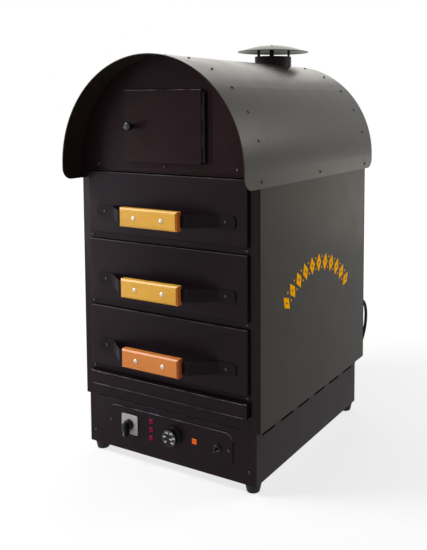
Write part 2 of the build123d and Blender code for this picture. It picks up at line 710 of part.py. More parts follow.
def thermostat_body():
    """Thermostat box with its capillary, which ends in a bulb inside the oven."""
    y0, y1 = BASE_FRONT_SET, BASE_FRONT_SET + THERMOSTAT_DEEP
    box = block(DIAL_X - THERMOSTAT_W / 2, DIAL_X + THERMOSTAT_W / 2, y0, y1,
                CONTROL_Z - THERMOSTAT_H / 2, CONTROL_Z + THERMOSTAT_H / 2)
    box = chamfer(box.edges().filter_by(Axis.Y), 3)
    bulb_tip = CHAMBER_BACK - BULB_L
    points = [
        (DIAL_X, y1, CONTROL_Z), (DIAL_X, 3 * y1, CONTROL_Z),
        (CAPILLARY_X, DEPTH / 2, CAPILLARY_Z), (CAPILLARY_X, CAPILLARY_Y, CAPILLARY_Z),
        (CAPILLARY_X, CAPILLARY_Y, BULB_Z), (CAPILLARY_X, bulb_tip, BULB_Z),
    ]
    radii = [CAPILLARY_R, CAPILLARY_R, CAPILLARY_R, CAPILLARY_SET - CAPILLARY_D]
    path = FilletPolyline(*points, radius=radii)
    tube = sweep(Plane(origin=path @ 0, z_dir=path % 0) * Circle(CAPILLARY_D / 2), path)
    return box + tube + rod(CAPILLARY_X, BULB_Z, bulb_tip, CHAMBER_BACK - 1, BULB_D)


TOGGLE_PIVOT_Y = PLATE_FACE + 2


def toggle_switch_body():
    """Toggle switch: box behind the panel, threaded bush through it and a round nut."""
    y0 = BASE_FRONT_SET
    body = block(TOGGLE_X - 9, TOGGLE_X + 9, y0, y0 + TOGGLE_DEEP, CONTROL_Z - 14, CONTROL_Z + 14)
    bush_front = PLATE_FACE - TOGGLE_NUT_T - 2
    body += rod(TOGGLE_X, CONTROL_Z, bush_front, y0, TOGGLE_BUSH_D)
    body += rod(TOGGLE_X, CONTROL_Z, PLATE_FACE - TOGGLE_NUT_T, PLATE_FACE, TOGGLE_NUT_D)
    body -= rod(TOGGLE_X, CONTROL_Z, bush_front - 1, PLATE_FACE + 8, TOGGLE_BORE_D)
    return body - toggle_pin(PIN_PLAY)


def toggle_pin(play):
    """Pivot pin across the lever's ball, held in the walls of the bush."""
    pin = Rot(0, 90, 0) * Cylinder(TOGGLE_PIN_D / 2 + play, TOGGLE_BORE_D + TOGGLE_PIN_D + 2 * play)
    return Pos(TOGGLE_X, TOGGLE_PIVOT_Y, CONTROL_Z) * pin


def toggle_lever():
    """Tapered lever on a ball, resting at the lower end of its throw."""
    ball = Sphere(TOGGLE_BORE_D / 2 - FIT)
    neck = Pos(0, 0, 5) * Cylinder(1.3, 10)
    tip = TOGGLE_LEVER_L
    bat = Pos(0, 0, (9 + tip) / 2) * Cone(1.4, 2.6, tip - 9) + Pos(0, 0, tip) * Sphere(2.6)
    lever = Rot(90 + TOGGLE_TILT, 0, 0) * (ball + neck + bat)
    return Pos(TOGGLE_X, TOGGLE_PIVOT_Y, CONTROL_Z) * lever + toggle_pin(0)


def terminal_block():
    """Moulded mains terminal block on the base floor, with three wire wells."""
    z0 = FOOT_HEIGHT + SHEET
    y0, y1 = BASE_BACK - BLOCK_INSET - BLOCK_D, BASE_BACK - BLOCK_INSET
    x1 = BASE_HALF - BLOCK_INSET
    x0 = x1 - BLOCK_W
    body = block(x0, x1, y0, y1, z0, z0 + BLOCK_H)
    body += block(x0 - BLOCK_EAR, x1 + BLOCK_EAR, y0, y1, z0, z0 + BLOCK_EAR)
    pitch = BLOCK_W / POLES
    for k in range(POLES):
        well = Cylinder(BLOCK_WELL_D / 2, BLOCK_H)
        body -= Pos(x0 + pitch * (k + 0.5), (y0 + y1) / 2, z0 + BLOCK_H) * well
    return body


# ---------------------------------------------------------------- hatch
HINGE_X = HATCH_W / 2 + LEAF + KNUCKLE_D / 2 + 0.2
HINGE_Y = -HATCH_PROUD / 2
HINGE_Z0 = HATCH_Z0 + 4
HINGE_L = HATCH_H - 8


def knuckle(index):
    """One of the knuckles along the hinge line, without its bore."""
    length = HINGE_L / KNUCKLES
    z = HINGE_Z0 + length * (index + 0.5)
    return Pos(HINGE_X, HINGE_Y, z) * Cylinder(KNUCKLE_D / 2, length - 0.4)


HINGE_BORE = Pos(HINGE_X, HINGE_Y, HINGE_Z0 + HINGE_L / 2) * Cylinder(
    HINGE_PIN_D / 2 + PIN_PLAY, HINGE_L + 2)


def hinge_frame_leaf():
    """Fixed leaf on the arch panel with the odd knuckles, and the pin that they hold."""
    leaf = Part() + block(HINGE_X, HINGE_X + LEAF_W, -LEAF, 0, HINGE_Z0, HINGE_Z0 + HINGE_L)
    z0, z1 = HINGE_Z0, HINGE_Z0 + HINGE_L
    web = block(HINGE_X + KNUCKLE_D / 2 - LEAF, HINGE_X + KNUCKLE_D / 2, HINGE_Y, 0, z0, z1)
    leaf += web
    length = HINGE_L / KNUCKLES
    for k in range(1, KNUCKLES, 2):
        z = HINGE_Z0 + length * k
        reach = KNUCKLE_D / 2 + 0.3
        leaf -= block(HINGE_X - reach, HINGE_X + reach, HINGE_Y - reach, 1, z - 0.2,
                      z + length + 0.2)
    for k in range(0, KNUCKLES, 2):
        leaf += knuckle(k)
    leaf -= HINGE_BORE
    pin = Pos(HINGE_X, HINGE_Y, HINGE_Z0 + HINGE_L / 2) * Cylinder(HINGE_PIN_D / 2, HINGE_L)
    return leaf, pin


def hinge_door_leaf():
    """Door leaf along the hatch's edge with the even knuckles."""
    x0 = HATCH_W / 2
    leaf = Part() + block(x0, x0 + LEAF, -HATCH_PROUD + 1, -1, HINGE_Z0, HINGE_Z0 + HINGE_L)
    length = HINGE_L / KNUCKLES
    for k in range(1, KNUCKLES, 2):
        z = HINGE_Z0 + length * k
        link = block(x0, HINGE_X, HINGE_Y - KNUCKLE_D / 2, HINGE_Y - KNUCKLE_D / 2 + LEAF,
                     z + 0.2, z + length - 0.2)
        leaf += link + knuckle(k)
    for k in range(0, KNUCKLES, 2):
        z = HINGE_Z0 + length * k
        cut = Pos(HINGE_X, HINGE_Y, z + length / 2) * Cylinder(KNUCKLE_D / 2 + 0.15, length)
        leaf -= cut
    return leaf - HINGE_BORE


def hatch_door():
    """Hatch: a shallow folded pan, open at the back."""
    half = HATCH_W / 2
    pan = block(-half, half, -HATCH_PROUD, -FIT, HATCH_Z0, HATCH_Z1)
    pan = fillet(pan.edges().filter_by(Axis.Y), 2)
    pan = fillet(pan.faces().sort_by(Axis.Y)[0].edges(), 1)
    hollow = block(-half + SHEET, half - SHEET, -HATCH_PROUD + SHEET, 5, HATCH_Z0 + SHEET,
                   HATCH_Z1 - SHEET)
    pan -= hollow
    return pan - rod(KNOB_X, KNOB_Z, -HATCH_PROUD - 5, 5, SCREW_D + 2 * SCREW_PLAY)


KNOB_X = -HATCH_W / 2 + KNOB_FROM_EDGE
KNOB_Z = (HATCH_Z0 + HATCH_Z1) / 2


def hatch_knob():
    """Turned knob: a stem, a waist and a rounded head, held by its own stud."""
    r = KNOB_D / 2
    stem = KNOB_STEM_D / 2
    outline = [(0, 0), (stem + 1.5, 0), (stem, 5), (stem, 11), (r, 15), (r, KNOB_REACH - 5),
               (r - 3, KNOB_REACH - 1), (r - 5, KNOB_REACH), (0, KNOB_REACH)]
    body = revolve(Plane.XZ * make_face(Polyline(*outline, close=True)), Axis.Z)
    knob = Pos(KNOB_X, -HATCH_PROUD, KNOB_Z) * Rot(90, 0, 0) * body
    return knob + rod(KNOB_X, KNOB_Z, -HATCH_PROUD, -HATCH_PROUD + 6, SCREW_D)


# ---------------------------------------------------------------- drawers
def drawer_front(bay):
    """Folded front pan: proud of the stiles, reaching back between them."""
    z0, z1 = bay - FRONT_HEIGHT / 2, bay + FRONT_HEIGHT / 2
    pan = block(-FRONT_HALF, FRONT_HALF, -FRONT_PROUD, FRONT_INSIDE, z0, z1)
    pan = fillet(pan.edges().filter_by(Axis.Y), 3)
    pan = fillet(pan.faces().sort_by(Axis.Y)[0].edges(), PAN_BEND)
    pan -= block(-FRONT_HALF + SHEET, FRONT_HALF - SHEET, -FRONT_PROUD + SHEET,
                 FRONT_INSIDE + 1, z0 + SHEET, z1 - SHEET)
    for side in (-1, 1):
        pan -= front_hole(side * FOOT_SCREW_X, bay - HANDLE_DROP, -FRONT_PROUD - 1,
                          -FRONT_PROUD + 5)
    return pan


def drawer_tray(bay):
    """Backing plate with the open tray welded to it; long slots in the tray's floor."""
    half, height = FRONT_HALF - 1, FRONT_HEIGHT / 2 - 1
    tray = block(-half, half, FRONT_INSIDE, BACKING, bay - height, bay + height)
    z0 = bay - TRAY_DROP
    z1 = z0 + TRAY_HEIGHT
    outer = block(-TRAY_HALF, TRAY_HALF, BACKING, TRAY_BACK, z0, z1)
    inner = block(-TRAY_HALF + TRAY_SHEET, TRAY_HALF - TRAY_SHEET, BACKING,
                  TRAY_BACK - TRAY_SHEET, z0 + TRAY_SHEET, z1 + 1)
    tray += outer - inner
    for side in (-1, 1):
        edge = side * TRAY_HALF
        tray += block(edge - side * TRAY_SHEET, edge + side * TRAY_FLANGE, BACKING, TRAY_BACK,
                      z1 - TRAY_SHEET, z1)
    pitch = 2 * TRAY_HALF / (TRAY_SLOTS + 1)
    middle = (BACKING + TRAY_BACK) / 2
    for k in range(TRAY_SLOTS):
        x = (k - (TRAY_SLOTS - 1) / 2) * pitch
        tray -= block(x - TRAY_SLOT_W / 2, x + TRAY_SLOT_W / 2, middle - TRAY_SLOT_L / 2,
                      middle + TRAY_SLOT_L / 2, z0 - 1, z0 + TRAY_SHEET + 1)
    return tray


def handle_strap(bay):
    """Steel strap bent into two feet, two arms and a straight middle behind the grip."""
    mid = STRAP_T / 2
    foot_y = -FRONT_PROUD - mid
    bar_y = GRIP_BACK - mid
    half = [(STRAP_FOOT_X, foot_y), (STRAP_BEND_X, foot_y), (STRAP_KNEE_X, bar_y)]
    points = half + [(-x, y) for x, y in reversed(half)]
    z = bay - HANDLE_DROP
    strap = folded(points, z - STRAP_H / 2, z + STRAP_H / 2, STRAP_T, STRAP_R)
    ends = [e for e in strap.edges().filter_by(Axis.Y) if abs(e.center().X) > STRAP_FOOT_X - 1]
    strap = fillet(ends, STRAP_H / 3)
    for side in (-1, 1):
        strap -= front_hole(side * FOOT_SCREW_X, z, foot_y - 5, foot_y + 5)
        strap -= front_hole(side * GRIP_SCREW_X, z, bar_y - 5, bar_y + 5)
    return strap


def handle_grip(bay):
    """Hardwood grip with chamfered front edges and a groove that takes the strap."""
    z = bay - HANDLE_DROP
    grip = block(-GRIP_L / 2, GRIP_L / 2, GRIP_FRONT, GRIP_BACK, z - GRIP_H / 2, z + GRIP_H / 2)
    front = grip.faces().sort_by(Axis.Y)[0]
    grip = chamfer(front.edges(), GRIP_CHAMFER)
    groove = STRAP_H / 2 + FIT
    grip -= block(-GRIP_L, GRIP_L, GRIP_BACK - STRAP_T, GRIP_BACK + 1, z - groove, z + groove)
    for side in (-1, 1):
        grip -= front_hole(side * GRIP_SCREW_X, z, GRIP_FRONT - 1, GRIP_BACK + 1)
    return grip


def handle_screws(bay):
    z = bay - HANDLE_DROP
    screws = []
    for side in (-1, 1):
        screws.append(front_screw(side * GRIP_SCREW_X, z, GRIP_FRONT, GRIP_T, GRIP_HEAD_D))
        foot_face = -FRONT_PROUD - STRAP_T
        screws.append(front_screw(side * FOOT_SCREW_X, z, foot_face, STRAP_T + SHEET + 4))
    return screws


def crumb_tray():
    """Shallow tray under the lowest drawer. Its front stands ahead of the drawers, with a
    turned-out edge at the top and bottom to pull it by."""
    top = LOW_RAIL_Z - RAIL_HEIGHT / 2 - RUN
    bottom = top - CRUMB_FRONT_H
    front = block(-FRONT_HALF, FRONT_HALF, -CRUMB_PROUD, BACKING, bottom, top)
    front -= block(-FRONT_HALF + SHEET, FRONT_HALF - SHEET, -CRUMB_PROUD + SHEET, BACKING + 1,
                   bottom + SHEET, top - SHEET)
    lip_half = FRONT_HALF - CRUMB_LIP_INSET
    for z in (bottom, top - SHEET):
        front += block(-lip_half, lip_half, -CRUMB_PROUD - LIP_LINE, -CRUMB_PROUD, z, z + SHEET)
    z0 = CRUMB_Z
    half = CHAMBER - CRUMB_GAP
    y1 = CHAMBER_BACK - CRUMB_END_GAP
    pan = block(-half, half, BACKING - TRAY_SHEET, y1, z0, z0 + CRUMB_DEPTH)
    pan -= block(-half + TRAY_SHEET, half - TRAY_SHEET, BACKING, y1 - TRAY_SHEET,
                 z0 + TRAY_SHEET, z0 + CRUMB_DEPTH + 1)
    plate = block(-FRONT_HALF + SHEET, FRONT_HALF - SHEET, BACKING - TRAY_SHEET, BACKING,
                  bottom + SHEET, top - SHEET)
    return front + plate + pan


# ---------------------------------------------------------------- chimney
COLLAR_TOP = CREST + FLUE_TOP
RIM_Z = COLLAR_TOP + CAP_GAP


def chimney_collar():
    """Flue collar through the roof, with its three cap struts welded on."""
    bottom = ARCH_Z + LOFT_R - FLUE_TAIL
    height = COLLAR_TOP - bottom
    at = Pos(0, FLUE_BACK, (COLLAR_TOP + bottom) / 2)
    collar = at * Cylinder(FLUE_D / 2, height) - at * Cylinder(FLUE_D / 2 - FLUE_T, height + 2)
    under = cap_height(FLUE_D / 2 - FLUE_T - STRUT_T / 2) - 0.6
    for k in range(STRUTS):
        angle = STRUT_START_DEG + 360 / STRUTS * k
        r = FLUE_D / 2 - FLUE_T
        strut = block(r - STRUT_T, r + 0.2, -STRUT_W / 2, STRUT_W / 2, COLLAR_TOP - STRUT_LAP, under)
        collar += Pos(0, FLUE_BACK, 0) * Rot(0, 0, angle) * strut
    return collar


CAP_SPHERE_R = ((CAP_D / 2) ** 2 + CAP_RISE ** 2) / (2 * CAP_RISE)


def cap_height(radius):
    """Height of the cap's underside at a distance from its axis."""
    centre = RIM_Z + CAP_RISE - CAP_SPHERE_R
    return centre + math.sqrt((CAP_SPHERE_R - CAP_T) ** 2 - radius ** 2)


def chimney_cap():
    """Shallow spun dome."""
    centre = RIM_Z + CAP_RISE - CAP_SPHERE_R
    outer = Pos(0, FLUE_BACK, centre) * Sphere(CAP_SPHERE_R)
    inner = Pos(0, FLUE_BACK, centre) * Sphere(CAP_SPHERE_R - CAP_T)
    drum = Pos(0, FLUE_BACK, RIM_Z + CAP_RISE) * Cylinder(CAP_D / 2, 2 * CAP_RISE)
    return (outer & drum) - inner


# ---------------------------------------------------------------- screws
def canopy_screws():
    """Button-head screws along both ends of the roof and along the skirts."""
    head = Pos(0, 0, HEAD_T / 2 + 0.05) * Cone(HEAD_D / 2, HEAD_D / 3, HEAD_T)
    screw = head + Pos(0, 0, -2.5) * Cylinder(SCREW_D / 2, 5.2)
    screws = [around_roof(angle, y, CANOPY_OUT) * screw for y in ROW_Y for angle in ROW_ANGLES]
    for side in (-1, 1):
        for y in SKIRT_SCREW_Y:
            at = Location((side * CANOPY_OUT, y, SKIRT_SCREW_Z))
            screws.append(at * Rot(0, 90 * side, 0) * screw)
    return screws


def panel_screws():
    """Button-head screws of the rails, the arch panel, the base and the rear panel."""
    screws = []
    for side in (-1, 1):
        for z in RAIL_Z:
            screws.append(front_screw(side * FRAME_SCREW_X, z, 0, LINER_FRONT + SHEET + 2))
        screws.append(front_screw(side * PLATE_SCREW_X, CONTROL_Z, PLATE_FACE, PLATE_T + SHEET))
        screws.append(front_screw(side * BASE_SCREW_X, BASE_SCREW_Z, BASE_FRONT_SET, 2 * SHEET))
        for z in REAR_SCREW_Z:
            screw = front_screw(0, 0, 0, 2 * SHEET)
            screws.append(Pos(side * REAR_SCREW_X, DEPTH, z) * Rot(0, 0, 180) * screw)
    for x in ARCH_SCREW_X:
        screws.append(front_screw(x, ARCH_SCREW_Z, 0, 2 * SHEET))
    return screws


# ---------------------------------------------------------------- mains lead
def cable_gland():
    """Gland: nuts each side of the rear panel and a flexible tapered sleeve."""
    inside = DEPTH - SHEET
    gland = rod(GLAND_X, GLAND_Z, inside - 5, inside, GLAND_NUT_D - 4)
    gland += rod(GLAND_X, GLAND_Z, inside, DEPTH, GLAND_TIP_D)
    nut = Pos(GLAND_X, DEPTH, GLAND_Z) * Rot(-90, 0, 0) * extrude(
        RegularPolygon(GLAND_NUT_D / 2, 6), GLAND_NUT_T)
    sleeve_y = DEPTH + GLAND_NUT_T
    sleeve = Pos(GLAND_X, sleeve_y + GLAND_SLEEVE / 2, GLAND_Z) * Rot(-90, 0, 0) * Cone(
        GLAND_TIP_D / 2 + 2.5, GLAND_TIP_D / 2, GLAND_SLEEVE)
    return gland + nut + sleeve


CORD_START_Y = DEPTH + GLAND_NUT_T + GLAND_SLEEVE
CORD_REST_Z = CORD_D / 2 + 0.3
COIL_EDGE = COIL_MID_R + COIL_W / 2
COIL_INLET = (COIL_X + COIL_STUB, COIL_Y - COIL_MID_R - COIL_W / 2 + CORD_D / 2)
CORD_POINTS = [
    (GLAND_X, CORD_START_Y, GLAND_Z),
    (GLAND_X, CORD_START_Y + 26, GLAND_Z),
    (GLAND_X - 1, CORD_START_Y + 50, GLAND_Z - 26),
    (GLAND_X - 2, CORD_START_Y + 57, GLAND_Z - 64),
    (GLAND_X - 5, CORD_START_Y + 48, GLAND_Z - 108),
    (GLAND_X - 14, CORD_START_Y + 30, GLAND_Z - 152),
    (GLAND_X - 26, CORD_START_Y + 14, GLAND_Z - 198),
    (GLAND_X - 40, CORD_START_Y + 4, GLAND_Z - 243),
    (GLAND_X - 62, CORD_START_Y - 1, CORD_REST_Z + 12),
    (GLAND_X - 94, COIL_INLET[1], CORD_REST_Z),
    (COIL_INLET[0], COIL_INLET[1], CORD_REST_Z),
]


def corner_radii(points):
    """Arc radius at each corner: 0.45 of the shorter run over the tangent of half the turn."""
    radii = []
    for a, b, c in zip(points, points[1:], points[2:]):
        run_in, run_out = Vector(*b) - Vector(*a), Vector(*c) - Vector(*b)
        turn = math.radians(run_in.get_angle(run_out))
        radii.append(0.45 * min(run_in.length, run_out.length) / math.tan(turn / 2))
    return radii


def mains_cord():
    """Rubber lead from the gland down to the coil."""
    radii = corner_radii(CORD_POINTS)
    path = FilletPolyline(*CORD_POINTS, radius=radii)
    tube = sweep(Plane(origin=path @ 0, z_dir=path % 0) * Circle(CORD_D / 2), path)
    ideal = math.pi * (CORD_D / 2) ** 2 * path.length
    print("cord length", round(path.length, 1), "volume ratio", round(tube.volume / ideal, 5))
    print("cord radii", [round(r) for r in radii])
    return tube


def mains_coil():
    """Outer shape of the coiled lead, with the two tails that leave it."""
    ring = Pos(COIL_X, COIL_Y, COIL_H / 2 + FIT) * (
        Cylinder(COIL_EDGE, COIL_H) - Cylinder(COIL_MID_R - COIL_W / 2, COIL_H + 2))
    end = Plane(origin=(*COIL_INLET, CORD_REST_Z), z_dir=(-1, 0, 0))
    ring += extrude(end * Circle(COIL_TAIL_D / 2), COIL_STUB)
    outlet = Plane(origin=(PLUG_X, PLUG_Y, PLUG_ENTRY_Z), z_dir=(1, 0, 0))
    return ring + extrude(outlet * Circle(COIL_TAIL_D / 2), COIL_X - PLUG_X)


PLUG_X = COIL_X - COIL_EDGE - 22
PLUG_Y = COIL_Y - COIL_MID_R - CORD_D / 2
PLUG_ENTRY_Z = FIT + PLUG_T / 2


def mains_plug():
    """Three-pin plug lying on its back, pins up."""
    y = PLUG_Y
    body = block(PLUG_X - PLUG_L, PLUG_X, y - PLUG_W / 2, y + PLUG_W / 2, FIT, FIT + PLUG_T)
    body = fillet(body.edges().filter_by(Axis.Z), 8)
    top = FIT + PLUG_T
    mid = PLUG_X - PLUG_L / 2
    body += block(mid - 15, mid - 11, y - 4, y + 4, top, top + 22)
    for side in (-1, 1):
        body += block(mid + 8, mid + 12, y + side * 11 - 3.2, y + side * 11 + 3.2, top, top + 17)
    return body


# ---------------------------------------------------------------- build
save("left_side_panel", side_panel(-1))
save("right_side_panel", side_panel(1))
save("rear_panel", rear_panel())
save("roof_canopy", roof_canopy())
save("front_arch_panel", front_arch_panel())
save("rear_arch_panel", arch_panel(DEPTH, -1))
save("compartment_floor", compartment_floor())
save("compartment_liner", compartment_liner())
save("drawer_rails", *[drawer_rail(z) for z in RAIL_Z])
save("lower_front_rail", lower_front_rail())
save("cabinet_floor", cabinet_floor())
save("oven_liner", oven_liner())
save("insulation", oven_wool(), roof_wool())
save("runners", *[runner(side, top) for side in (-1, 1) for top in RUNNER_Z + [CRUMB_Z - FIT]])
save("base_shell", base_shell())
save("base_front_panel", base_front_panel())
save("base_floor", base_floor())
save("feet", *[foot(side * FOOT_X, y) for side in (-1, 1) for y in FOOT_Y])
save("control_plate", control_plate())
save("switch_escutcheon", switch_escutcheon())
save("switch_body", switch_body())
save("switch_knob", switch_knob())
save("heat_indicators", *[panel_lamp(LAMP_X, CONTROL_Z + k * LAMP_PITCH, LAMP) for k in (1, 0, -1)])
save("thermostat_lamp", panel_lamp(NEON_X, CONTROL_Z, NEON))
save("thermostat_body", thermostat_body())
save("thermostat_dial", thermostat_dial())
save("toggle_switch_body", toggle_switch_body())
save("toggle_lever", toggle_lever())
save("terminal_block", terminal_block())
save("hinge_frame_leaf", *hinge_frame_leaf())
save("hinge_door_leaf", hinge_door_leaf())
save("hatch_door", hatch_door())
save("hatch_knob", hatch_knob())
save("crumb_tray", crumb_tray())
save("chimney_collar", chimney_collar())
save("chimney_cap", chimney_cap())
save("canopy_screws", *canopy_screws())
save("panel_screws", *panel_screws())
save("cable_gland", cable_gland())
save("mains_cord", mains_cord())
save("mains_coil", mains_coil())
save("mains_plug", mains_plug())
for number, bay in enumerate(BAY_Z, 1):
    save(f"heating_element_{number}", heating_element(bay))
    save(f"drawer_{number}_front", drawer_front(bay))
    save(f"drawer_{number}_tray", drawer_tray(bay))
    save(f"drawer_{number}_strap", handle_strap(bay))
    save(f"drawer_{number}_grip", handle_grip(bay))
    save(f"drawer_{number}_screws", *handle_screws(bay))
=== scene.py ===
# %% [markdown]
# # Baked potato oven
# A counter oven in black enamelled sheet steel: three sliding drawers for the potatoes, a
# rolled roof over a warming compartment, a base that holds the controls and a short chimney.
# The measured parts come ready made as a fixed frame. This lesson dresses them: it gives every
# surface its finish, and models the small shapes that make the oven look real.
#
# The frame comes first, because every later piece is placed by its measurements.

# %% Load the frame
import json
import math

import bmesh
import bpy
from mathutils import Matrix, Vector


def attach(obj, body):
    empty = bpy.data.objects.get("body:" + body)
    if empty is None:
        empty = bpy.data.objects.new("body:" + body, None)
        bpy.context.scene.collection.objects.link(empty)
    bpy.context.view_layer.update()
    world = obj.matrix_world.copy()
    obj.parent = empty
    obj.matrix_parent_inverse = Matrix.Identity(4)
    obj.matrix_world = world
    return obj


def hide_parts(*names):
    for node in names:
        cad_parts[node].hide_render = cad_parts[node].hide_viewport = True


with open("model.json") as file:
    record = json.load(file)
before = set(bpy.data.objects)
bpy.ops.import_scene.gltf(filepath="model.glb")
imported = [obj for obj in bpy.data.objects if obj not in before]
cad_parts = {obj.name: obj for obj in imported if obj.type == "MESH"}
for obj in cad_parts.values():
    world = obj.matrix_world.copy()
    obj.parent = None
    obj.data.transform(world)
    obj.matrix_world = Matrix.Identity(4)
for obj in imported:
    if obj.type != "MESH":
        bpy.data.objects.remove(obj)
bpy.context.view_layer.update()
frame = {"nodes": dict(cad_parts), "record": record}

nodes = frame["nodes"]

# %% [markdown]
# ## One ruler
# The oven is drawn in millimetres, with x to the right, y to the back from the face of the
# cabinet's stiles and z up from the table. The scene is in metres, with its origin under the
# middle of the oven, so a place on the drawing is turned into a place in the scene by one
# small function, and no piece does that sum for itself.

# %% Drawing millimetres to scene metres
MM = 0.001
STILE_FACE = -0.2798
OVEN_WIDTH = 500
REAR_FACE = 583


def at(x, y, z):
    """A place on the drawing, in metres."""
    return Vector((x * MM, y * MM + STILE_FACE, z * MM))


print("back right corner of the cabinet at", tuple(at(OVEN_WIDTH / 2, REAR_FACE, 0)))

# %% [markdown]
# ## Camera
# The oven is seen from its right, from a little below the top of the roof, with the upright
# edges kept nearly upright. That is done with a shifted lens, as an architect's camera does.
# The camera itself dips by less than five degrees, because a tilted camera makes the cabinet
# look narrower at the foot.

# %% Camera
CAMERA_PLACE = (1028.7, -1340.9, 858.3)
CAMERA_SWING = 29.52
CAMERA_DIP = 4.70

camera_data = bpy.data.cameras.new("camera")
camera_data.lens = 48.48
camera_data.sensor_width = 36
camera_data.shift_x = -0.099
camera_data.shift_y = -0.20
camera = bpy.data.objects.new("camera", camera_data)
bpy.context.scene.collection.objects.link(camera)
camera.matrix_world = (
    Matrix.Translation(at(*CAMERA_PLACE))
    @ Matrix.Rotation(math.radians(CAMERA_SWING), 4, "Z")
    @ Matrix.Rotation(math.radians(90 - CAMERA_DIP), 4, "X")
)
bpy.context.scene.camera = camera
bpy.context.scene.view_settings.view_transform = "Standard"
print("camera at", tuple(camera.location))

# %% [markdown]
# ## Wires and finishes
# A material is a net of nodes. Drawn with the mouse, a sum such as "a third of the speckle plus
# a tenth" takes three nodes and four links. Here a socket is wrapped in a small class whose
# plus, minus and times signs add those nodes, so the sum is written as a sum. A second class
# is the net, with one method that adds any other node, and a third is a net that is a pot of
# paint.

# %% Shader sums
class Wire:
    """An output socket that takes part in sums."""

    def __init__(self, net, socket):
        self.net = net
        self.socket = socket

    def sum(self, operation, first, second):
        """Adds a Math node with two inputs."""
        return self.net.node("ShaderNodeMath", {"operation": operation}, {0: first, 1: second})

    def __add__(self, other):
        return self.sum("ADD", self, other)

    def __radd__(self, other):
        return self.sum("ADD", other, self)

    def __sub__(self, other):
        return self.sum("SUBTRACT", self, other)

    def __rsub__(self, other):
        return self.sum("SUBTRACT", other, self)

    def __mul__(self, other):
        return self.sum("MULTIPLY", self, other)

    def __rmul__(self, other):
        return self.sum("MULTIPLY", other, self)

    def __gt__(self, other):
        return self.sum("GREATER_THAN", self, other)

    def __lt__(self, other):
        return self.sum("LESS_THAN", self, other)


print("signs that a wire takes: + - * > <")

# %% Any other node
class Net:
    """The nodes of a material or of the world."""

    def __init__(self, tree):
        self.tree = tree

    def join(self, value, socket):
        """Links a wire to a socket, or sets a plain value on it."""
        if isinstance(value, Wire):
            self.tree.links.new(value.socket, socket)
        else:
            socket.default_value = value

    def node(self, kind, settings=None, sockets=None, out=0):
        """Adds a node: its settings first, then what goes into its sockets."""
        made = self.tree.nodes.new(kind)
        for name, value in (settings or {}).items():
            setattr(made, name, value)
        for name, value in (sockets or {}).items():
            self.join(value, made.inputs[name])
        return Wire(self, made.outputs[out])


print("a sum of wires adds its own Math nodes")

# %% A pot of paint
def tint(red, green, blue):
    """A colour as it looks on a screen, 0 to 255, in the linear numbers that shaders use."""
    linear = []
    for level in (red, green, blue):
        level = level / 255
        linear.append(level / 12.92 if level <= 0.04045 else ((level + 0.055) / 1.055) ** 2.4)
    return (*linear, 1.0)


def toned(colour, factor):
    """A colour made darker or paler."""
    return (*(factor * channel for channel in colour[:3]), 1.0)


class Finish(Net):
    """One material, started with the constants of its shader."""

    def __init__(self, name, slot, colour, roughness, **constants):
        self.slot = slot
        self.material = bpy.data.materials.new(name)
        self.material.use_nodes = True
        super().__init__(self.material.node_tree)
        self.shader = self.tree.nodes["Principled BSDF"]
        self.set("Base Color", colour)
        self.set("Roughness", roughness)
        for words, value in constants.items():
            self.set(words.replace("_", " "), value)
        self.normal = None

    def set(self, socket, value):
        """Joins a wire or a value to a socket of the shader."""
        self.join(value, self.shader.inputs[socket])

    def spot(self, stretch=(1, 1, 1), turn=(0, 0, 0)):
        """Where a point is on the piece, in metres."""
        place = self.node("ShaderNodeTexCoord", out="Object")
        return self.node("ShaderNodeMapping", {}, {
            "Vector": place, "Scale": stretch, "Rotation": turn})

    def along(self, axis):
        """How far a point is along an axis: 0, 1 or 2 for x, y or z."""
        return self.node("ShaderNodeSeparateXYZ", {}, {"Vector": self.spot()}, axis)

    def speckle(self, scale, detail=2.0, stretch=(1, 1, 1), contrast=1.0):
        """Noise about 0.5, with spots of about 1/scale metres."""
        cloud = self.node("ShaderNodeTexNoise", {}, {
            "Vector": self.spot(stretch), "Scale": scale, "Detail": detail})
        if contrast == 1.0:
            return cloud
        return (cloud - 0.5) * contrast + 0.5

    def written(self, name):
        """What the piece itself has written on its faces under this name, 0 to 1."""
        return self.node("ShaderNodeAttribute", {"attribute_name": name}, out=2)

    def between(self, factor, first, second):
        """A mix of two colours."""
        return self.node("ShaderNodeMix", {"data_type": "RGBA"}, {0: factor, 6: first, 7: second}, 2)

    def relief(self, height, depth):
        """Adds a fine surface shape, with a height from 0 to 1 for a depth in metres."""
        sockets = {"Height": height, "Distance": depth}
        if self.normal:
            sockets["Normal"] = self.normal
        self.normal = self.node("ShaderNodeBump", {}, sockets)
        self.set("Normal", self.normal)


print("white is", tint(255, 255, 255), "and mid grey is", tint(128, 128, 128))

# %% [markdown]
# ## Enamel
# The cabinet is finished in baked black enamel. Close to, it isn't flat: the coat has the fine
# orange peel of sprayed paint, the thin sheet under it is a little wavy, and greasy hands leave
# it shinier here and duller there. All three are noise, at three scales, and none of them is
# strong, because enamel on flat sheet is a calm surface. Upper edges get a paler line of painted
# highlight, standing in for the lamp caught by their rounding. A piece marks those faces itself,
# with an attribute.
# The recipe is one function with five pots: the roof has the most shine, and paler, warmer
# tones as painted light from above; the flanks are painted paler and browner than the front, as
# painted light on that side; the arch panel and the hatch are redder; and the straps are
# dullest, with darker tones as painted shade round the grips.

# %% Enamel for sheet steel
# Painted highlight: the pale colour laid along upper edges, in place of a lamp's glint on them.
painted_edge_highlight = tint(192, 186, 194)
WAVE = 0.0003
ORANGE_PEEL = 0.00003


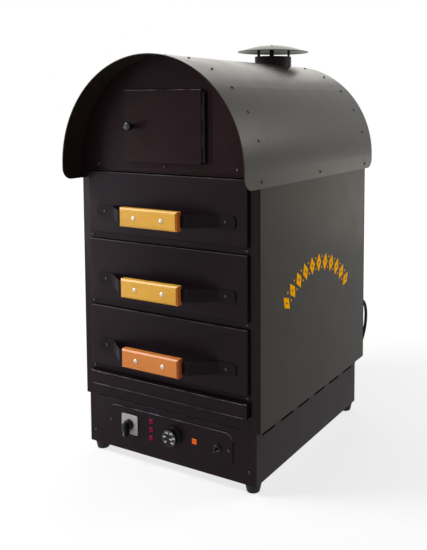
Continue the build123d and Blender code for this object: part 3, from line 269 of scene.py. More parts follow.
def enamel(name, dark, light, roughness, gloss, sheen=(1, 1, 1, 1)):
    """Baked black paint on thin sheet, between two tones, with the colour of its shine."""
    pot = Finish(name, "black_steel", dark, roughness, Specular_IOR_Level=gloss,
                 Specular_Tint=sheen)
    cloud = pot.speckle(6.0, 3.0, contrast=2.0)
    coat = pot.between(cloud, dark, light)
    # Painted highlight: the faces a piece marks are painted towards that pale colour, in speckles.
    highlight_level = pot.written("highlight_level") * pot.speckle(24.0, 2.0, contrast=2.2)
    pot.set("Base Color", pot.between(highlight_level, coat, painted_edge_highlight))
    smudge = pot.speckle(16.0, 4.0, contrast=1.6)
    pot.set("Roughness", smudge * 0.08 + (roughness - 0.04))
    pot.relief(pot.speckle(3.2, 1.0), WAVE)
    pot.relief(pot.speckle(620.0, 2.0), ORANGE_PEEL)
    return pot


violet_sheen = (1.0, 0.86, 0.95, 1.0)
warm_sheen = (1.0, 0.93, 0.83, 1.0)
red_sheen = (1.0, 0.72, 0.78, 1.0)
black_enamel = enamel("black enamel", tint(20, 13, 17), tint(27, 18, 23), 0.40, 0.09, violet_sheen)
# Painted light: the roof's tones are paler and warmer than the cabinet's, for the light from above.
roof_enamel = enamel("roof enamel", tint(28, 24, 19), tint(35, 30, 24), 0.30, 0.26, warm_sheen)
side_enamel = enamel("side enamel", tint(20, 14, 18), tint(26, 19, 23), 0.30, 0.10, warm_sheen)
arch_enamel = enamel("arch enamel", tint(23, 12, 15), tint(31, 17, 20), 0.40, 0.08, red_sheen)
# Painted shade: the straps' tones are darker than the cabinet's, to sink them into the shade round
# the grips.
strap_enamel = enamel("strap enamel", tint(17, 11, 14), tint(22, 15, 18), 0.42, 0.07)

# %% Paler flanks, painted light
FLANK_STARTS = 0.2494
across = side_enamel.node("ShaderNodeMath", {"operation": "ABSOLUTE"}, {0: side_enamel.along(0)})
# Painted light: the outer skin of each flank is painted paler and browner than its stile edge, for
# the light on that side.
lit_flank_tone = side_enamel.between(side_enamel.speckle(7.0, 3.0, contrast=2.0),
                              tint(30, 25, 19), tint(39, 34, 26))
stile = tint(22, 16, 20)
side_enamel.set("Base Color", side_enamel.between(across > FLANK_STARTS, stile, lit_flank_tone))
for pot in (black_enamel, roof_enamel, side_enamel, arch_enamel, strap_enamel):
    print("finish:", pot.material.name)

# %% [markdown]
# ## Bare metals
# The liners, trays and runners are plain stainless sheet, brushed one way in the mill. The
# screws of the grips are nickel plated and the elements are alloy tube, browned by heat.
# Brushing is noise stretched a hundred times along the grain, and it goes into both roughness
# and relief. The deck of the warming compartment is stainless too, but its upstand shows as a
# line over the top drawer, so that edge is painted black with the cabinet.

# %% Brushed stainless
def brushed(name, slot, colour, roughness, axis):
    """Metal with a fine grain along one axis: 0, 1 or 2 for x, y or z."""
    metal = Finish(name, slot, colour, roughness, Metallic=1.0)
    stretch = [700.0, 700.0, 700.0]
    stretch[axis] = 6.0
    grain = metal.speckle(1.0, 3.0, tuple(stretch))
    cloud = metal.speckle(9.0, 2.0)
    metal.set("Base Color", metal.between(cloud, toned(colour, 0.8), colour))
    metal.set("Roughness", grain * 0.16 + cloud * 0.08 + (roughness - 0.12))
    metal.relief(grain, 0.00002)
    return metal


stainless = brushed("brushed stainless", "bare_steel", tint(178, 176, 172), 0.36, 1)
deck_steel = brushed("deck steel", "bare_steel", tint(178, 176, 172), 0.36, 1)
UPSTAND_FACE = -0.2775
upstand = deck_steel.along(1) < UPSTAND_FACE
deck_steel.set("Base Color", deck_steel.between(upstand, tint(170, 168, 164), tint(22, 15, 18)))
deck_steel.set("Metallic", 1.0 - upstand)
deck_steel.set("Specular IOR Level", 0.1)
print("finishes:", stainless.material.name, deck_steel.material.name)

# %% Nickel and heated tube
nickel = Finish("nickel plate", "nickel", tint(205, 200, 190), 0.26, Metallic=1.0)
nickel.set("Roughness", nickel.speckle(900.0, 2.0) * 0.15 + 0.2)
nickel.relief(nickel.speckle(1400.0, 2.0), 0.00001)

heated_tube = Finish("heated tube", "element_sheath", tint(96, 84, 76), 0.45, Metallic=0.9)
heat = heated_tube.speckle(28.0, 3.0, contrast=2.0)
heated_tube.set("Base Color", heated_tube.between(heat, tint(74, 60, 58), tint(128, 108, 84)))
heated_tube.set("Roughness", heat * 0.2 + 0.35)
heated_tube.relief(heated_tube.speckle(700.0, 3.0), 0.00003)
print("finishes:", nickel.material.name, heated_tube.material.name)

# %% [markdown]
# ## Wood
# The grips are varnished softwood with the grain running along them. Long wood grain is two
# things: broad bands of early and late wood, and short dark pores. The bands are a wave that
# noise distorts, and the pores are noise, both stretched along x. The varnish is a clear coat
# over them. The lowest grip has gone more orange than the two above it, so it gets a pot of its
# own from the same recipe.

# %% Varnished wood
def varnished(name, pale, deep, pore, end_grain):
    """Varnished softwood with its grain along x."""
    wood = Finish(name, "hardwood", pale, 0.42, Coat_Weight=0.15, Coat_Roughness=0.25,
                  Specular_IOR_Level=0.25)
    drift = wood.speckle(1.0, 2.0, (7, 30, 30))
    rings = wood.node("ShaderNodeTexWave", {"bands_direction": "Z", "wave_profile": "SIN"}, {
        "Vector": wood.spot((1.4, 22, 30), turn=(0.35, 0.02, 0)), "Scale": 3.4,
        "Distortion": 5.0, "Detail": 2.0, "Detail Scale": 0.7}, 1)
    body = wood.between(rings * 0.5 + drift * 0.5, pale, deep)
    streaks = wood.speckle(1.0, 2.0, (26, 900, 900))
    pores = (streaks > 0.66) * 0.5
    body = wood.between(wood.written("end") * 0.85, body, end_grain)
    wood.set("Base Color", wood.between(pores, body, pore))
    wood.set("Roughness", streaks * 0.16 + 0.34)
    wood.relief(streaks, 0.00006)
    return wood


pale_wood = varnished("varnished wood", tint(230, 178, 62), tint(212, 150, 44),
                      tint(160, 96, 26), tint(190, 92, 26))
deep_wood = varnished("varnished wood deep", tint(218, 136, 56), tint(196, 108, 40),
                      tint(132, 66, 22), tint(168, 72, 24))
print("finishes:", pale_wood.material.name, deep_wood.material.name)

# %% [markdown]
# ## Moulded parts
# Knobs, feet and the lead are plastic and rubber. Moulded plastic keeps the faint grain of its
# tool, and rubber is duller and coarser. The lenses are coloured plastic: the square red
# indicators are dark because they are off, and the amber one glows a little.

# %% Plastic and rubber
def moulded(name, slot, colour, roughness, grain, depth, gloss=0.5):
    """Moulded plastic or rubber, with a grain of so many spots to the metre."""
    stuff = Finish(name, slot, colour, roughness, Specular_IOR_Level=gloss)
    texture = stuff.speckle(grain, 2.0)
    cloud = stuff.speckle(40.0, 2.0)
    stuff.set("Base Color", stuff.between(cloud, colour, toned(colour, 1.25)))
    stuff.set("Roughness", cloud * 0.12 + (roughness - 0.06))
    stuff.relief(texture, depth)
    return stuff


black_plastic = moulded("black plastic", "black_plastic", tint(16, 15, 16), 0.30, 1500, 0.00001)
knob_plastic = moulded("knob plastic", "black_plastic", tint(13, 12, 13), 0.36, 1500, 0.00001,
                       gloss=0.16)
grey_plastic = moulded("grey plastic", "grey_plastic", tint(160, 156, 156), 0.45, 1800, 0.00002)
rubber = moulded("black rubber", "black_rubber", tint(20, 19, 19), 0.58, 900, 0.00004, gloss=0.2)
for stuff in (black_plastic, knob_plastic, grey_plastic, rubber):
    print("finish:", stuff.material.name)

# %% Lenses
red_lens = Finish("red lens", "red_lens", tint(128, 0, 44), 0.35, Specular_IOR_Level=0.06)
red_lens.set("Roughness", red_lens.speckle(900.0, 2.0) * 0.2 + 0.25)
amber_lens = Finish("amber lens", "amber_lens", tint(224, 78, 14), 0.35, Specular_IOR_Level=0.1,
                    Emission_Strength=0.12)
amber_lens.set("Emission Color", amber_lens.between(
    amber_lens.speckle(260.0, 1.0, contrast=2.0), tint(240, 84, 16), tint(250, 190, 60)))
print("finishes:", red_lens.material.name, amber_lens.material.name)

# %% [markdown]
# ## Wool
# The insulation is a felt of mineral fibres, yellow-brown and matt. It is only seen where a
# panel is off, so one noise is enough for its colour and its relief.

# %% Mineral wool
wool = Finish("mineral wool", "mineral_wool", tint(168, 146, 92), 0.95, Specular_IOR_Level=0.1)
tangle = wool.speckle(260.0, 6.0, contrast=1.8)
wool.set("Base Color", wool.between(tangle, tint(128, 104, 60), tint(196, 176, 122)))
wool.relief(tangle, 0.0012)
print("finish:", wool.material.name)

# %% [markdown]
# ## Painting the frame
# Each measured part has one finish, named by its slot. One table leads from slot to finish, and
# a second one names the few parts that get another finish than their slot's.

# %% Paint every measured part
shelf = {finish.slot: finish for finish in (
    black_enamel, stainless, nickel, heated_tube, pale_wood, black_plastic, grey_plastic,
    rubber, red_lens, amber_lens, wool)}


def paint(piece, finish):
    """Gives a piece one finish and no other."""
    piece.data.materials.clear()
    piece.data.materials.append(finish.material)


slots = {part["node"]: part["material_slot"] for part in frame["record"]["subparts"]}
special = {"roof_canopy": roof_enamel, "chimney_cap": roof_enamel,
           "front_arch_panel": arch_enamel, "hatch_door": arch_enamel,
           "compartment_floor": deck_steel,
           "left_side_panel": side_enamel, "right_side_panel": side_enamel}


def finish_of(name):
    """The finish that a measured part takes."""
    return special.get(name, shelf[slots[name]])


for name, node in nodes.items():
    paint(node, finish_of(name))
used = {finish_of(name).material.name for name in nodes}
print("painted:", len(nodes), "nodes in", len(used), "finishes")

# %% [markdown]
# ## A piece of our own
# Every modelled piece ends in the same way: its place goes into its mesh, it gets a finish, it
# rides on the body that carries it, and the measured parts it stands for are hidden. An operator
# acts on all that is selected, so a piece is taken in hand alone before anything is done to it,
# and its faces or edges are chosen in code by where they are or which way they face.

# %% Hold, settle and fit
def hold_nothing():
    """Lays every piece down."""
    if bpy.context.object and bpy.context.object.mode != "OBJECT":
        bpy.ops.object.mode_set(mode="OBJECT")
    bpy.ops.object.select_all(action="DESELECT")


def hold(piece):
    """Makes one piece the only one in hand."""
    hold_nothing()
    piece.select_set(True)
    bpy.context.view_layer.objects.active = piece


def settled(piece):
    """Puts the place, the turn and the size of a piece into its mesh."""
    hold(piece)
    bpy.ops.object.transform_apply(location=True, rotation=True, scale=True)
    return piece


def fit(piece, name, finish, body, replaces=()):
    """Names, settles and paints a piece, and fixes it to the body that carries it."""
    settled(piece)
    piece.name = name
    paint(piece, finish)
    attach(piece, body)
    if replaces:
        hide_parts(*replaces)
    return piece


print("ready to hold, settle and fit")

# %% Modify, copy and ease
MERGE = 0.00001


def modify(piece, kind, **settings):
    """Adds a modifier and applies it at once."""
    hold(piece)
    modifier = piece.modifiers.new(kind.lower(), kind)
    for setting, value in settings.items():
        setattr(modifier, setting, value)
    bpy.ops.object.modifier_apply(modifier=modifier.name)


def smooth(piece, degrees):
    """Shades a piece smooth, except over edges sharper than an angle."""
    hold(piece)
    bpy.ops.object.shade_smooth_by_angle(angle=math.radians(degrees))


def start_edit(piece, kind, chosen):
    """Opens a piece in edit mode, with only its chosen faces or edges selected."""
    hold(piece)
    bpy.ops.object.mode_set(mode="EDIT")
    bpy.ops.mesh.select_mode(type=kind)
    bpy.ops.mesh.select_all(action="DESELECT")
    mesh = bmesh.from_edit_mesh(piece.data)
    for part in (mesh.faces if kind == "FACE" else mesh.edges):
        part.select_set(chosen(part))
    bmesh.update_edit_mesh(piece.data)


def end_edit():
    """Closes edit mode."""
    bpy.ops.object.mode_set(mode="OBJECT")


def copied(node, name):
    """A merged copy of a measured part, with its flat faces whole again."""
    piece = bpy.data.objects.new(name, nodes[node].data.copy())
    bpy.context.scene.collection.objects.link(piece)
    hold(piece)
    bpy.ops.object.mode_set(mode="EDIT")
    bpy.ops.mesh.select_all(action="SELECT")
    bpy.ops.mesh.remove_doubles(threshold=MERGE)
    bpy.ops.mesh.dissolve_limited(angle_limit=math.radians(0.6))
    end_edit()
    return piece


def eased(piece, width, steps=2):
    """Rounds the sharp edges of a piece, and keeps its flat faces flat."""
    sharp = 35
    smooth(piece, sharp)
    modify(piece, "BEVEL", width=width, segments=steps, limit_method="ANGLE",
           angle_limit=math.radians(sharp), harden_normals=True)
    return piece


print("ready to modify, copy and ease")

# %% Write on a piece
LIP = 2.2 * MM


def write(piece, name, level_of):
    """Writes a level from 0 to 1 on each face, for a finish to read."""
    layer = piece.data.color_attributes.new(name, "FLOAT_COLOR", "CORNER")
    for face in piece.data.polygons:
        level = float(level_of(face))
        for corner in face.loop_indices:
            layer.data[corner].color = (level, level, level, 1.0)


def lay_painted_highlight(piece, level, low_level=None):
    """Marks the upward faces at the front of a piece for painted highlight, those of its lower half
    by low_level.
    """
    nose = min(corner.co.y for corner in piece.data.vertices)
    heights = [corner.co.z for corner in piece.data.vertices]
    middle = (min(heights) + max(heights)) / 2

    def level_of(face):
        front = face.normal.y < -0.2 or face.center.y < nose + LIP
        low = low_level is not None and face.center.z < middle
        return (low_level if low else level) * (face.normal.z > 0.2 and front)

    write(piece, "highlight_level", level_of)


print("ready to write")

# %% [markdown]
# ## On the lathe
# Screw heads, knobs, nuts and feet are all turned shapes. Each could be a revolved curve, but it
# is quicker to start with a disc and draw it out ring by ring: extrude, then scale the ring.
# The list of radii and heights is then the drawing of the part. The piece is made upright at
# the origin and tipped over to face the way it should only when it is done.

# %% Turn, face, cut and join
def turned(profile, sides):
    """Draws a disc out along rings of (radius, height), in millimetres."""
    radius, height = profile[0]
    hold_nothing()
    bpy.ops.mesh.primitive_circle_add(vertices=sides, radius=radius * MM, fill_type="NGON",
                                      location=(0, 0, 0))
    piece = bpy.context.object
    bpy.ops.object.mode_set(mode="EDIT")
    bpy.ops.mesh.select_all(action="SELECT")
    bpy.ops.transform.translate(value=(0, 0, height * MM))
    for next_radius, next_height in profile[1:]:
        bpy.ops.mesh.extrude_region_move(
            TRANSFORM_OT_translate={"value": (0, 0, (next_height - height) * MM)})
        growth = next_radius / radius
        bpy.ops.transform.resize(value=(growth, growth, 1))
        radius, height = next_radius, next_height
    bpy.ops.mesh.select_all(action="SELECT")
    bpy.ops.mesh.normals_make_consistent(inside=False)
    end_edit()
    return piece


FORWARD = (0, -1, 0)
BACKWARD = (0, 1, 0)
RIGHT = (1, 0, 0)


def facing(place, direction, turn=0.0):
    """Stands the z axis of a piece on a place, pointing along a direction."""
    return (Matrix.Translation(place)
            @ Vector(direction).to_track_quat("Z", "Y").to_matrix().to_4x4()
            @ Matrix.Rotation(turn, 4, "Z"))


def bar(x, y, z, width, depth, height):
    """A box by its middle and sizes, in millimetres, at the origin of its own axes."""
    hold_nothing()
    bpy.ops.mesh.primitive_cube_add(size=1, location=(x * MM, y * MM, z * MM))
    piece = bpy.context.object
    piece.scale = (width * MM, depth * MM, height * MM)
    return settled(piece)


def cut(piece, cutter):
    """Takes the shape of a cutter out of a piece."""
    modify(piece, "BOOLEAN", operation="DIFFERENCE", object=cutter, solver="EXACT")
    bpy.data.objects.remove(cutter)


def joined(pieces):
    """Makes one piece of several."""
    hold_nothing()
    for piece in pieces:
        piece.select_set(True)
    bpy.context.view_layer.objects.active = pieces[0]
    if len(pieces) > 1:
        bpy.ops.object.join()
    return bpy.context.object


print("lathe ready")

# %% [markdown]
# ## Screws
# Every panel is held by round-headed screws with a cross recess. One head is modelled: a low
# dome from the lathe, with a tapered cross sunk into it by a Boolean. The measured screws tell
# where the heads belong: each of them has one flat round top, and its middle and its normal are
# all that a copy needs. Each head is turned by a different amount, because nobody lines up the
# slots. The wide heads on the grips are nickel, and all the others are dark zinc.

# %% One screw head
HEAD_RADIUS = 3.75
HEAD_RISE = 2.4


def screw_head():
    """A domed head with a cross recess, standing on the origin."""
    dome = turned([(3.0, -0.6), (3.6, -0.6), (HEAD_RADIUS, 0.1), (3.7, 0.55), (3.45, 1.15),
                   (2.95, 1.7), (2.2, 2.1), (1.2, 2.32), (0.3, HEAD_RISE - 0.02)], 20)
    for width, depth in ((3.6, 0.8), (0.8, 3.6)):
        recess = bar(0, 0, HEAD_RISE, width, depth, 2.2)
        start_edit(recess, "FACE", lambda face: face.normal.z < -0.5)
        bpy.ops.transform.resize(value=(0.45, 0.45, 1))
        end_edit()
        cut(dome, recess)
    smooth(dome, 30)
    return dome


master_head = screw_head()
print("screw head:", len(master_head.data.polygons), "faces")

# %% Where the heads go
TOP_RADIUS = 0.0025
TOP_RADII = (0.0022, 0.0036)


def head_places(node):
    """The middle, the direction and the relative size of the top of each measured screw."""
    screws = copied(node, "screw_places")
    places = []
    for face in screws.data.polygons:
        reach = max((screws.data.vertices[v].co - face.center).length for v in face.vertices)
        whole_disc = face.area > 0.9 * math.pi * reach ** 2
        if whole_disc and TOP_RADII[0] < reach < TOP_RADII[1]:
            places.append((face.center.copy(), face.normal.copy(), reach / TOP_RADIUS))
    bpy.data.objects.remove(screws)
    return sorted(places, key=lambda place: tuple(round(part, 4) for part in place[0]))


print("tops of", len(head_places("canopy_screws")), "canopy screws found")

# %% Drive the screws
DRAWERS = ("drawer_1", "drawer_2", "drawer_3")
ANY_SIZE = (0, 9)
FOOT_SIZE = (0, 1.2)
GRIP_SIZE = (1.2, 9)


def drive_screws(node, name, finish, body, sizes=ANY_SIZE):
    """Sets a copy of the head on each measured screw of a node with a size in a range."""
    heads = []
    for number, (middle, outward, size) in enumerate(head_places(node)):
        if not sizes[0] < size < sizes[1]:
            continue
        head = bpy.data.objects.new(name, master_head.data.copy())
        bpy.context.scene.collection.objects.link(head)
        seat = middle - outward * HEAD_RISE * MM
        head.matrix_world = facing(seat, outward, turn=0.3 + 0.83 * number)
        head.scale = (size, size, 1)
        heads.append(settled(head))
    print(name, "has", len(heads), "heads")
    fit(joined(heads), name, finish, body, [node])


dark_zinc = Finish("dark zinc", "nickel", tint(60, 57, 58), 0.32, Metallic=0.9)
dark_zinc.set("Roughness", dark_zinc.speckle(900.0, 2.0) * 0.2 + 0.24)
drive_screws("canopy_screws", "canopy_screw_heads", dark_zinc, "oven_body")
drive_screws("panel_screws", "panel_screw_heads", dark_zinc, "oven_body")
for drawer in DRAWERS:
    drive_screws(f"{drawer}_screws", f"{drawer}_grip_screw_heads", nickel, drawer, GRIP_SIZE)
    drive_screws(f"{drawer}_screws", f"{drawer}_foot_screw_heads", dark_zinc, drawer, FOOT_SIZE)
bpy.data.objects.remove(master_head)

# %% [markdown]
# ## Painted edges
# Sheet steel is never sharp once it is painted: the enamel rounds every cut edge, and that
# rounding is what draws the thin bright line along the top of each lip under a lamp. The
# measured parts have sharp cut edges, so a merged copy of each is eased with a narrow bevel.
# Each row of the table has the body, the width of the bevel in millimetres and how strongly
# the upper edges get a pale line of painted highlight besides. Only the upper lip of the crumb
# tray carries as much painted highlight as that.

# %% Ease the painted edges
# The crumb tray's lower half gets a fainter painted highlight.
TRAY_FOOT_HIGHLIGHT = 0.2
eased_sheet = {
    "lower_front_rail": ("oven_body", 0.7, 0.6), "base_front_panel": ("oven_body", 0.9, 1.0),
    "control_plate": ("oven_body", 0.9, 1.0), "front_arch_panel": ("oven_body", 0.7, 0.03),
    "crumb_tray": ("crumb_tray", 0.7, 0.7), "drawer_rails": ("oven_body", 0.4, 0.0),
    "chimney_collar": ("oven_body", 0.4, 0.0), "hatch_door": ("hatch", 0.6, 1.0),
}
for drawer in DRAWERS:
    eased_sheet[f"{drawer}_front"] = (drawer, 0.7, 0.12)
for node, (body, width, highlight_level) in eased_sheet.items():
    piece = eased(copied(node, node), width * MM)
    # Painted highlight along the upper front edges, as strong as the table says.
    lay_painted_highlight(piece, highlight_level, TRAY_FOOT_HIGHLIGHT if node == "crumb_tray" else None)
    fit(piece, node + "_eased", finish_of(node), body, [node])
print("eased:", ", ".join(eased_sheet))

# %% [markdown]
# ## Grips
# Each drawer is pulled by a straight bar of varnished wood on a bent steel strap. The bar has
# chamfered front edges, and the strap sits in a groove along its back. The sawn ends drink more
# varnish, so they are darker and redder than the faces. The grip marks its own end faces.

# %% Grips and straps
for drawer, wood in zip(DRAWERS, (pale_wood, pale_wood, deep_wood)):
    grip = eased(copied(f"{drawer}_grip", "grip"), 0.7 * MM)
    write(grip, "end", lambda face: abs(face.normal.x) > 0.5)
    fit(grip, f"{drawer}_wood", wood, drawer, [f"{drawer}_grip"])
    strap = eased(copied(f"{drawer}_strap", "strap"), 0.6 * MM)
    # A faint painted highlight along the strap's upper edges.
    lay_painted_highlight(strap, 0.25)
    fit(strap, f"{drawer}_bent_strap", strap_enamel, drawer, [f"{drawer}_strap"])
print("grips and straps dressed")

# %% [markdown]
# ## Hatch knob
# The hatch has a small black turned knob near its left edge: a foot, a slim waist and a fat
# rounded head that catches the lamp.

# %% Turn the hatch knob
HATCH_FACE = -10
PULL_X = -79
PULL_Z = 808
knob = turned([(5.8, 0), (6.2, 0.5), (6.1, 1.4), (4.9, 3.4), (4.7, 4.6), (4.8, 9), (5.8, 11),
               (8.0, 13.0), (9.1, 15.2), (9.5, 17.6), (9.5, 22.6), (9.1, 25.6), (7.9, 27.8),
               (5.8, 28.8), (2.8, 29)], 40)
knob.matrix_world = facing(at(PULL_X, HATCH_FACE, PULL_Z), FORWARD)
fit(knob, "hatch_pull", black_plastic, "hatch", ["hatch_knob"])
smooth(knob, 50)
print("hatch knob:", len(knob.data.polygons), "faces")

# %% [markdown]
# ## Thermostat dial
# The dial is a black moulded knob with a fluted grip and a flat face. Its scale is printed in
# white round the rim, and a white bar on the face turns with it. The flutes are every second
# side face of the lathe piece, inset and pushed in. The printing is real text made into
# mesh a tenth of a millimetre thick, because a painted pattern would need an image.

# %% Dial body
PLATE_FACE = -1
CONTROL_Z = 90
SEAT_GAP = 0.3
DIAL_X = 17
dial_place = at(DIAL_X, PLATE_FACE - SEAT_GAP, CONTROL_Z)


def fluted(piece, low, high, inset, depth):
    """Pushes in every second side face between two heights of an upright lathe piece."""
    sides = len([face for face in piece.data.polygons if low < face.center.z < high])
    step = 2 * math.pi / sides

    def second_side(face):
        middle = face.calc_center_median()
        side = round(math.atan2(middle.y, middle.x) / step - 0.5)
        return low < middle.z < high and side % 2 == 0

    start_edit(piece, "FACE", second_side)
    bpy.ops.mesh.inset(thickness=inset, depth=-depth, use_individual=True)
    end_edit()


dial = turned([(20.2, 0), (21.0, 0.5), (21.2, 1.2), (21.2, 2.8), (20.6, 3.5), (19.9, 15.6),
               (19.6, 17.0), (18.9, 17.6), (18.2, 17.7), (17.8, 17.3), (1.0, 17.3)], 64)
fluted(dial, 6 * MM, 13 * MM, 0.25 * MM, 0.5 * MM)
dial.matrix_world = facing(dial_place, FORWARD)
fit(dial, "dial_body", knob_plastic, "thermostat_dial", ["thermostat_dial"])
smooth(dial, 40)
print("dial:", len(dial.data.polygons), "faces")

# %% Printing
white_print = Finish("white print", "grey_plastic", tint(240, 238, 232), 0.5)
white_print.set("Roughness", white_print.speckle(2000.0, 2.0) * 0.2 + 0.4)


def printed(words, size, x, y, lift):
    """Words as thin mesh, centred on x, y and raised over a face, in millimetres."""
    hold_nothing()
    bpy.ops.object.text_add(location=(x * MM, y * MM, lift * MM))
    text = bpy.context.object
    text.data.body = words
    text.data.size = size * MM
    text.data.extrude = 0.06 * MM
    text.data.offset = 0.1 * MM
    text.data.resolution_u = 4
    text.data.align_x = "CENTER"
    text.data.align_y = "CENTER"
    bpy.ops.object.convert(target="MESH")
    return bpy.context.object


print("finish:", white_print.material.name)

# %% Scale, pointer and hub
DIAL_LIFT = 17.3
SCALE_START = 225
TICK_STEP = 10.8
TICKS_A_NUMBER = 5
NUMBERS = 6
NUMBER_RING = 13.2
TICK_RING = 16.9
strokes = []
for number in range(NUMBERS):
    clock = math.radians(SCALE_START - number * TICKS_A_NUMBER * TICK_STEP)
    strokes.append(printed(str(50 * (number + 1)), 5.6, NUMBER_RING * math.cos(clock),
                           NUMBER_RING * math.sin(clock), DIAL_LIFT))
for tick in range(TICKS_A_NUMBER * (NUMBERS - 1) + 1):
    clock = math.radians(SCALE_START - tick * TICK_STEP)
    width, length = (1.0, 1.5) if tick % TICKS_A_NUMBER == 0 else (0.6, 1.0)
    stroke = bar(0, TICK_RING, DIAL_LIFT, width, length, 0.12)
    stroke.matrix_world = Matrix.Rotation(clock - math.pi / 2, 4, "Z")
    strokes.append(stroke)
pointer = bar(3.4, 0, DIAL_LIFT, 11.5, 2.0, 0.2)
pointer.matrix_world = Matrix.Rotation(math.radians(-14), 4, "Z")
strokes.append(pointer)
dial_hub = turned([(2.2, 17.2), (2.2, 17.6), (1.9, 17.8), (0.5, 17.8)], 24)
scale_print = joined([settled(stroke) for stroke in strokes])
for piece in (scale_print, dial_hub):
    piece.matrix_world = facing(dial_place, FORWARD)
fit(scale_print, "dial_scale", white_print, "thermostat_dial")
fit(dial_hub, "dial_hub", knob_plastic, "thermostat_dial")
smooth(dial_hub, 30)
print("dial scale:", len(scale_print.data.polygons), "faces")

# %% [markdown]
# ## Rotary switch
# The oven is switched by a cam switch: a pale square plate with its corners rounded, and a
# black knob with a raised bar to turn it by. The bar has a white line that points at the marks
# on the plate. The toggle beside the dial keeps its measured shape and changes its finish.

# %% Switch knob
SWITCH_X = -112
SWITCH_PLATE = 2
knob_place = at(SWITCH_X, PLATE_FACE - SWITCH_PLATE - SEAT_GAP, CONTROL_Z)
switch_hub = turned([(12.3, 0), (12.9, 0.4), (13.0, 1.2), (12.8, 6.6), (12.2, 8.0), (11.0, 8.8),
                     (9.5, 9.0), (1.0, 9.0)], 48)
grip_bar = eased(bar(0, -7, 12.5, 11, 34, 19), 3 * MM, 4)
grip_line = bar(0, -15, 21.95, 1.6, 11, 0.1)
for piece in (switch_hub, grip_bar, grip_line):
    piece.matrix_world = facing(knob_place, FORWARD)
    settled(piece)
switch_grip = joined([switch_hub, grip_bar])
fit(switch_grip, "switch_grip", knob_plastic, "switch_knob", ["switch_knob"])
smooth(switch_grip, 40)
fit(grip_line, "switch_line", white_print, "switch_knob")
print("switch knob:", len(switch_grip.data.polygons), "faces")

# %% Switch plate
switch_plate = eased(copied("switch_escutcheon", "plate"), 0.7 * MM, 3)
fit(switch_plate, "switch_plate", grey_plastic, "oven_body", ["switch_escutcheon"])
LEGEND_RING = 24
strokes = []
for words, clock in (("0", 236), ("1", 304)):
    turn = math.radians(clock)
    strokes.append(settled(printed(words, 5.2, LEGEND_RING * math.cos(turn),
                                   LEGEND_RING * math.sin(turn), SWITCH_PLATE)))
legend_print = joined(strokes)
legend_print.matrix_world = facing(at(SWITCH_X, PLATE_FACE, CONTROL_Z), FORWARD)
fit(legend_print, "switch_legend", black_plastic, "oven_body")
print("switch plate and legend fitted")

# %% Toggle lever
paint(nodes["toggle_lever"], dark_zinc)
paint(nodes["toggle_switch_body"], black_plastic)
print("toggle:", dark_zinc.material.name, "lever in", black_plastic.material.name)

# %% [markdown]
# ## Side ornament
# The right side carries an arched band of yellow transfers. Here it is a plain arched row of
# lozenges with beads between them, cut from film a seventh of a millimetre thick. Each lozenge
# is a four-sided lathe disc, stretched to stand along the arch, with a hole in its middle.

# %% Yellow film
yellow_film = Finish("yellow film", "nickel", tint(250, 172, 0), 0.6, Specular_IOR_Level=0.0)
film_cloud = yellow_film.speckle(60.0, 3.0, contrast=1.6)
deep_yellow = tint(250, 160, 0)
pale_yellow = tint(255, 188, 6)
yellow_film.set("Base Color", yellow_film.between(film_cloud, deep_yellow, pale_yellow))
yellow_film.relief(yellow_film.speckle(500.0), 0.00002)
print("finish:", yellow_film.material.name)

# %% Lozenges and beads
arch_middle = at(OVEN_WIDTH / 2, 281, 235)
ARCH_RADIUS = 234
LOZENGES = 11
FIRST_CLOCK = 133
LAST_CLOCK = 43
CLOCK_STEP = (FIRST_CLOCK - LAST_CLOCK) / (LOZENGES - 1)
LOZENGE_STRETCH = (13.5, 22.5, 1)
BEAD_SHIFTS = (-13, 14)


def on_arch(piece, clock):
    """Moves a flat piece from the origin to its place along the arch, standing outwards."""
    turn = math.radians(clock)
    piece.matrix_world = (Matrix.Rotation(turn - math.pi / 2, 4, "Z")
                          @ Matrix.Translation((0, ARCH_RADIUS * MM, 0)))
    return settled(piece)


shapes = []
for number in range(LOZENGES):
    clock = FIRST_CLOCK - number * CLOCK_STEP
    lozenge = turned([(1.0, -0.02), (1.0, 0.10), (0.96, 0.14), (0.1, 0.14)], 4)
    lozenge.scale = LOZENGE_STRETCH
    settled(lozenge)
    cut(lozenge, turned([(3.2, -1.0), (3.2, 1.0)], 16))
    shapes.append(on_arch(lozenge, clock))
    if number < LOZENGES - 1:
        for reach in BEAD_SHIFTS:
            bead = turned([(2.6, -0.02), (2.6, 0.12), (2.3, 0.14), (0.2, 0.14)], 12)
            bead.location = (0, reach * MM, 0)
            shapes.append(on_arch(settled(bead), clock - CLOCK_STEP / 2))
arch_band = joined(shapes)
arch_band.matrix_world = facing(arch_middle, RIGHT)
fit(arch_band, "side_ornament", yellow_film, "oven_body")
print("ornament:", len(arch_band.data.polygons), "faces")

# %% [markdown]
# ## Chimney cap and feet
# The cap is a spun dome. Its rim is rolled over a wire so that it doesn't cut, and three
# rivets hold the struts. The rolled rim is a small circle spun round the flue. The feet are
# turned rubber bumpers with a ring moulded in.

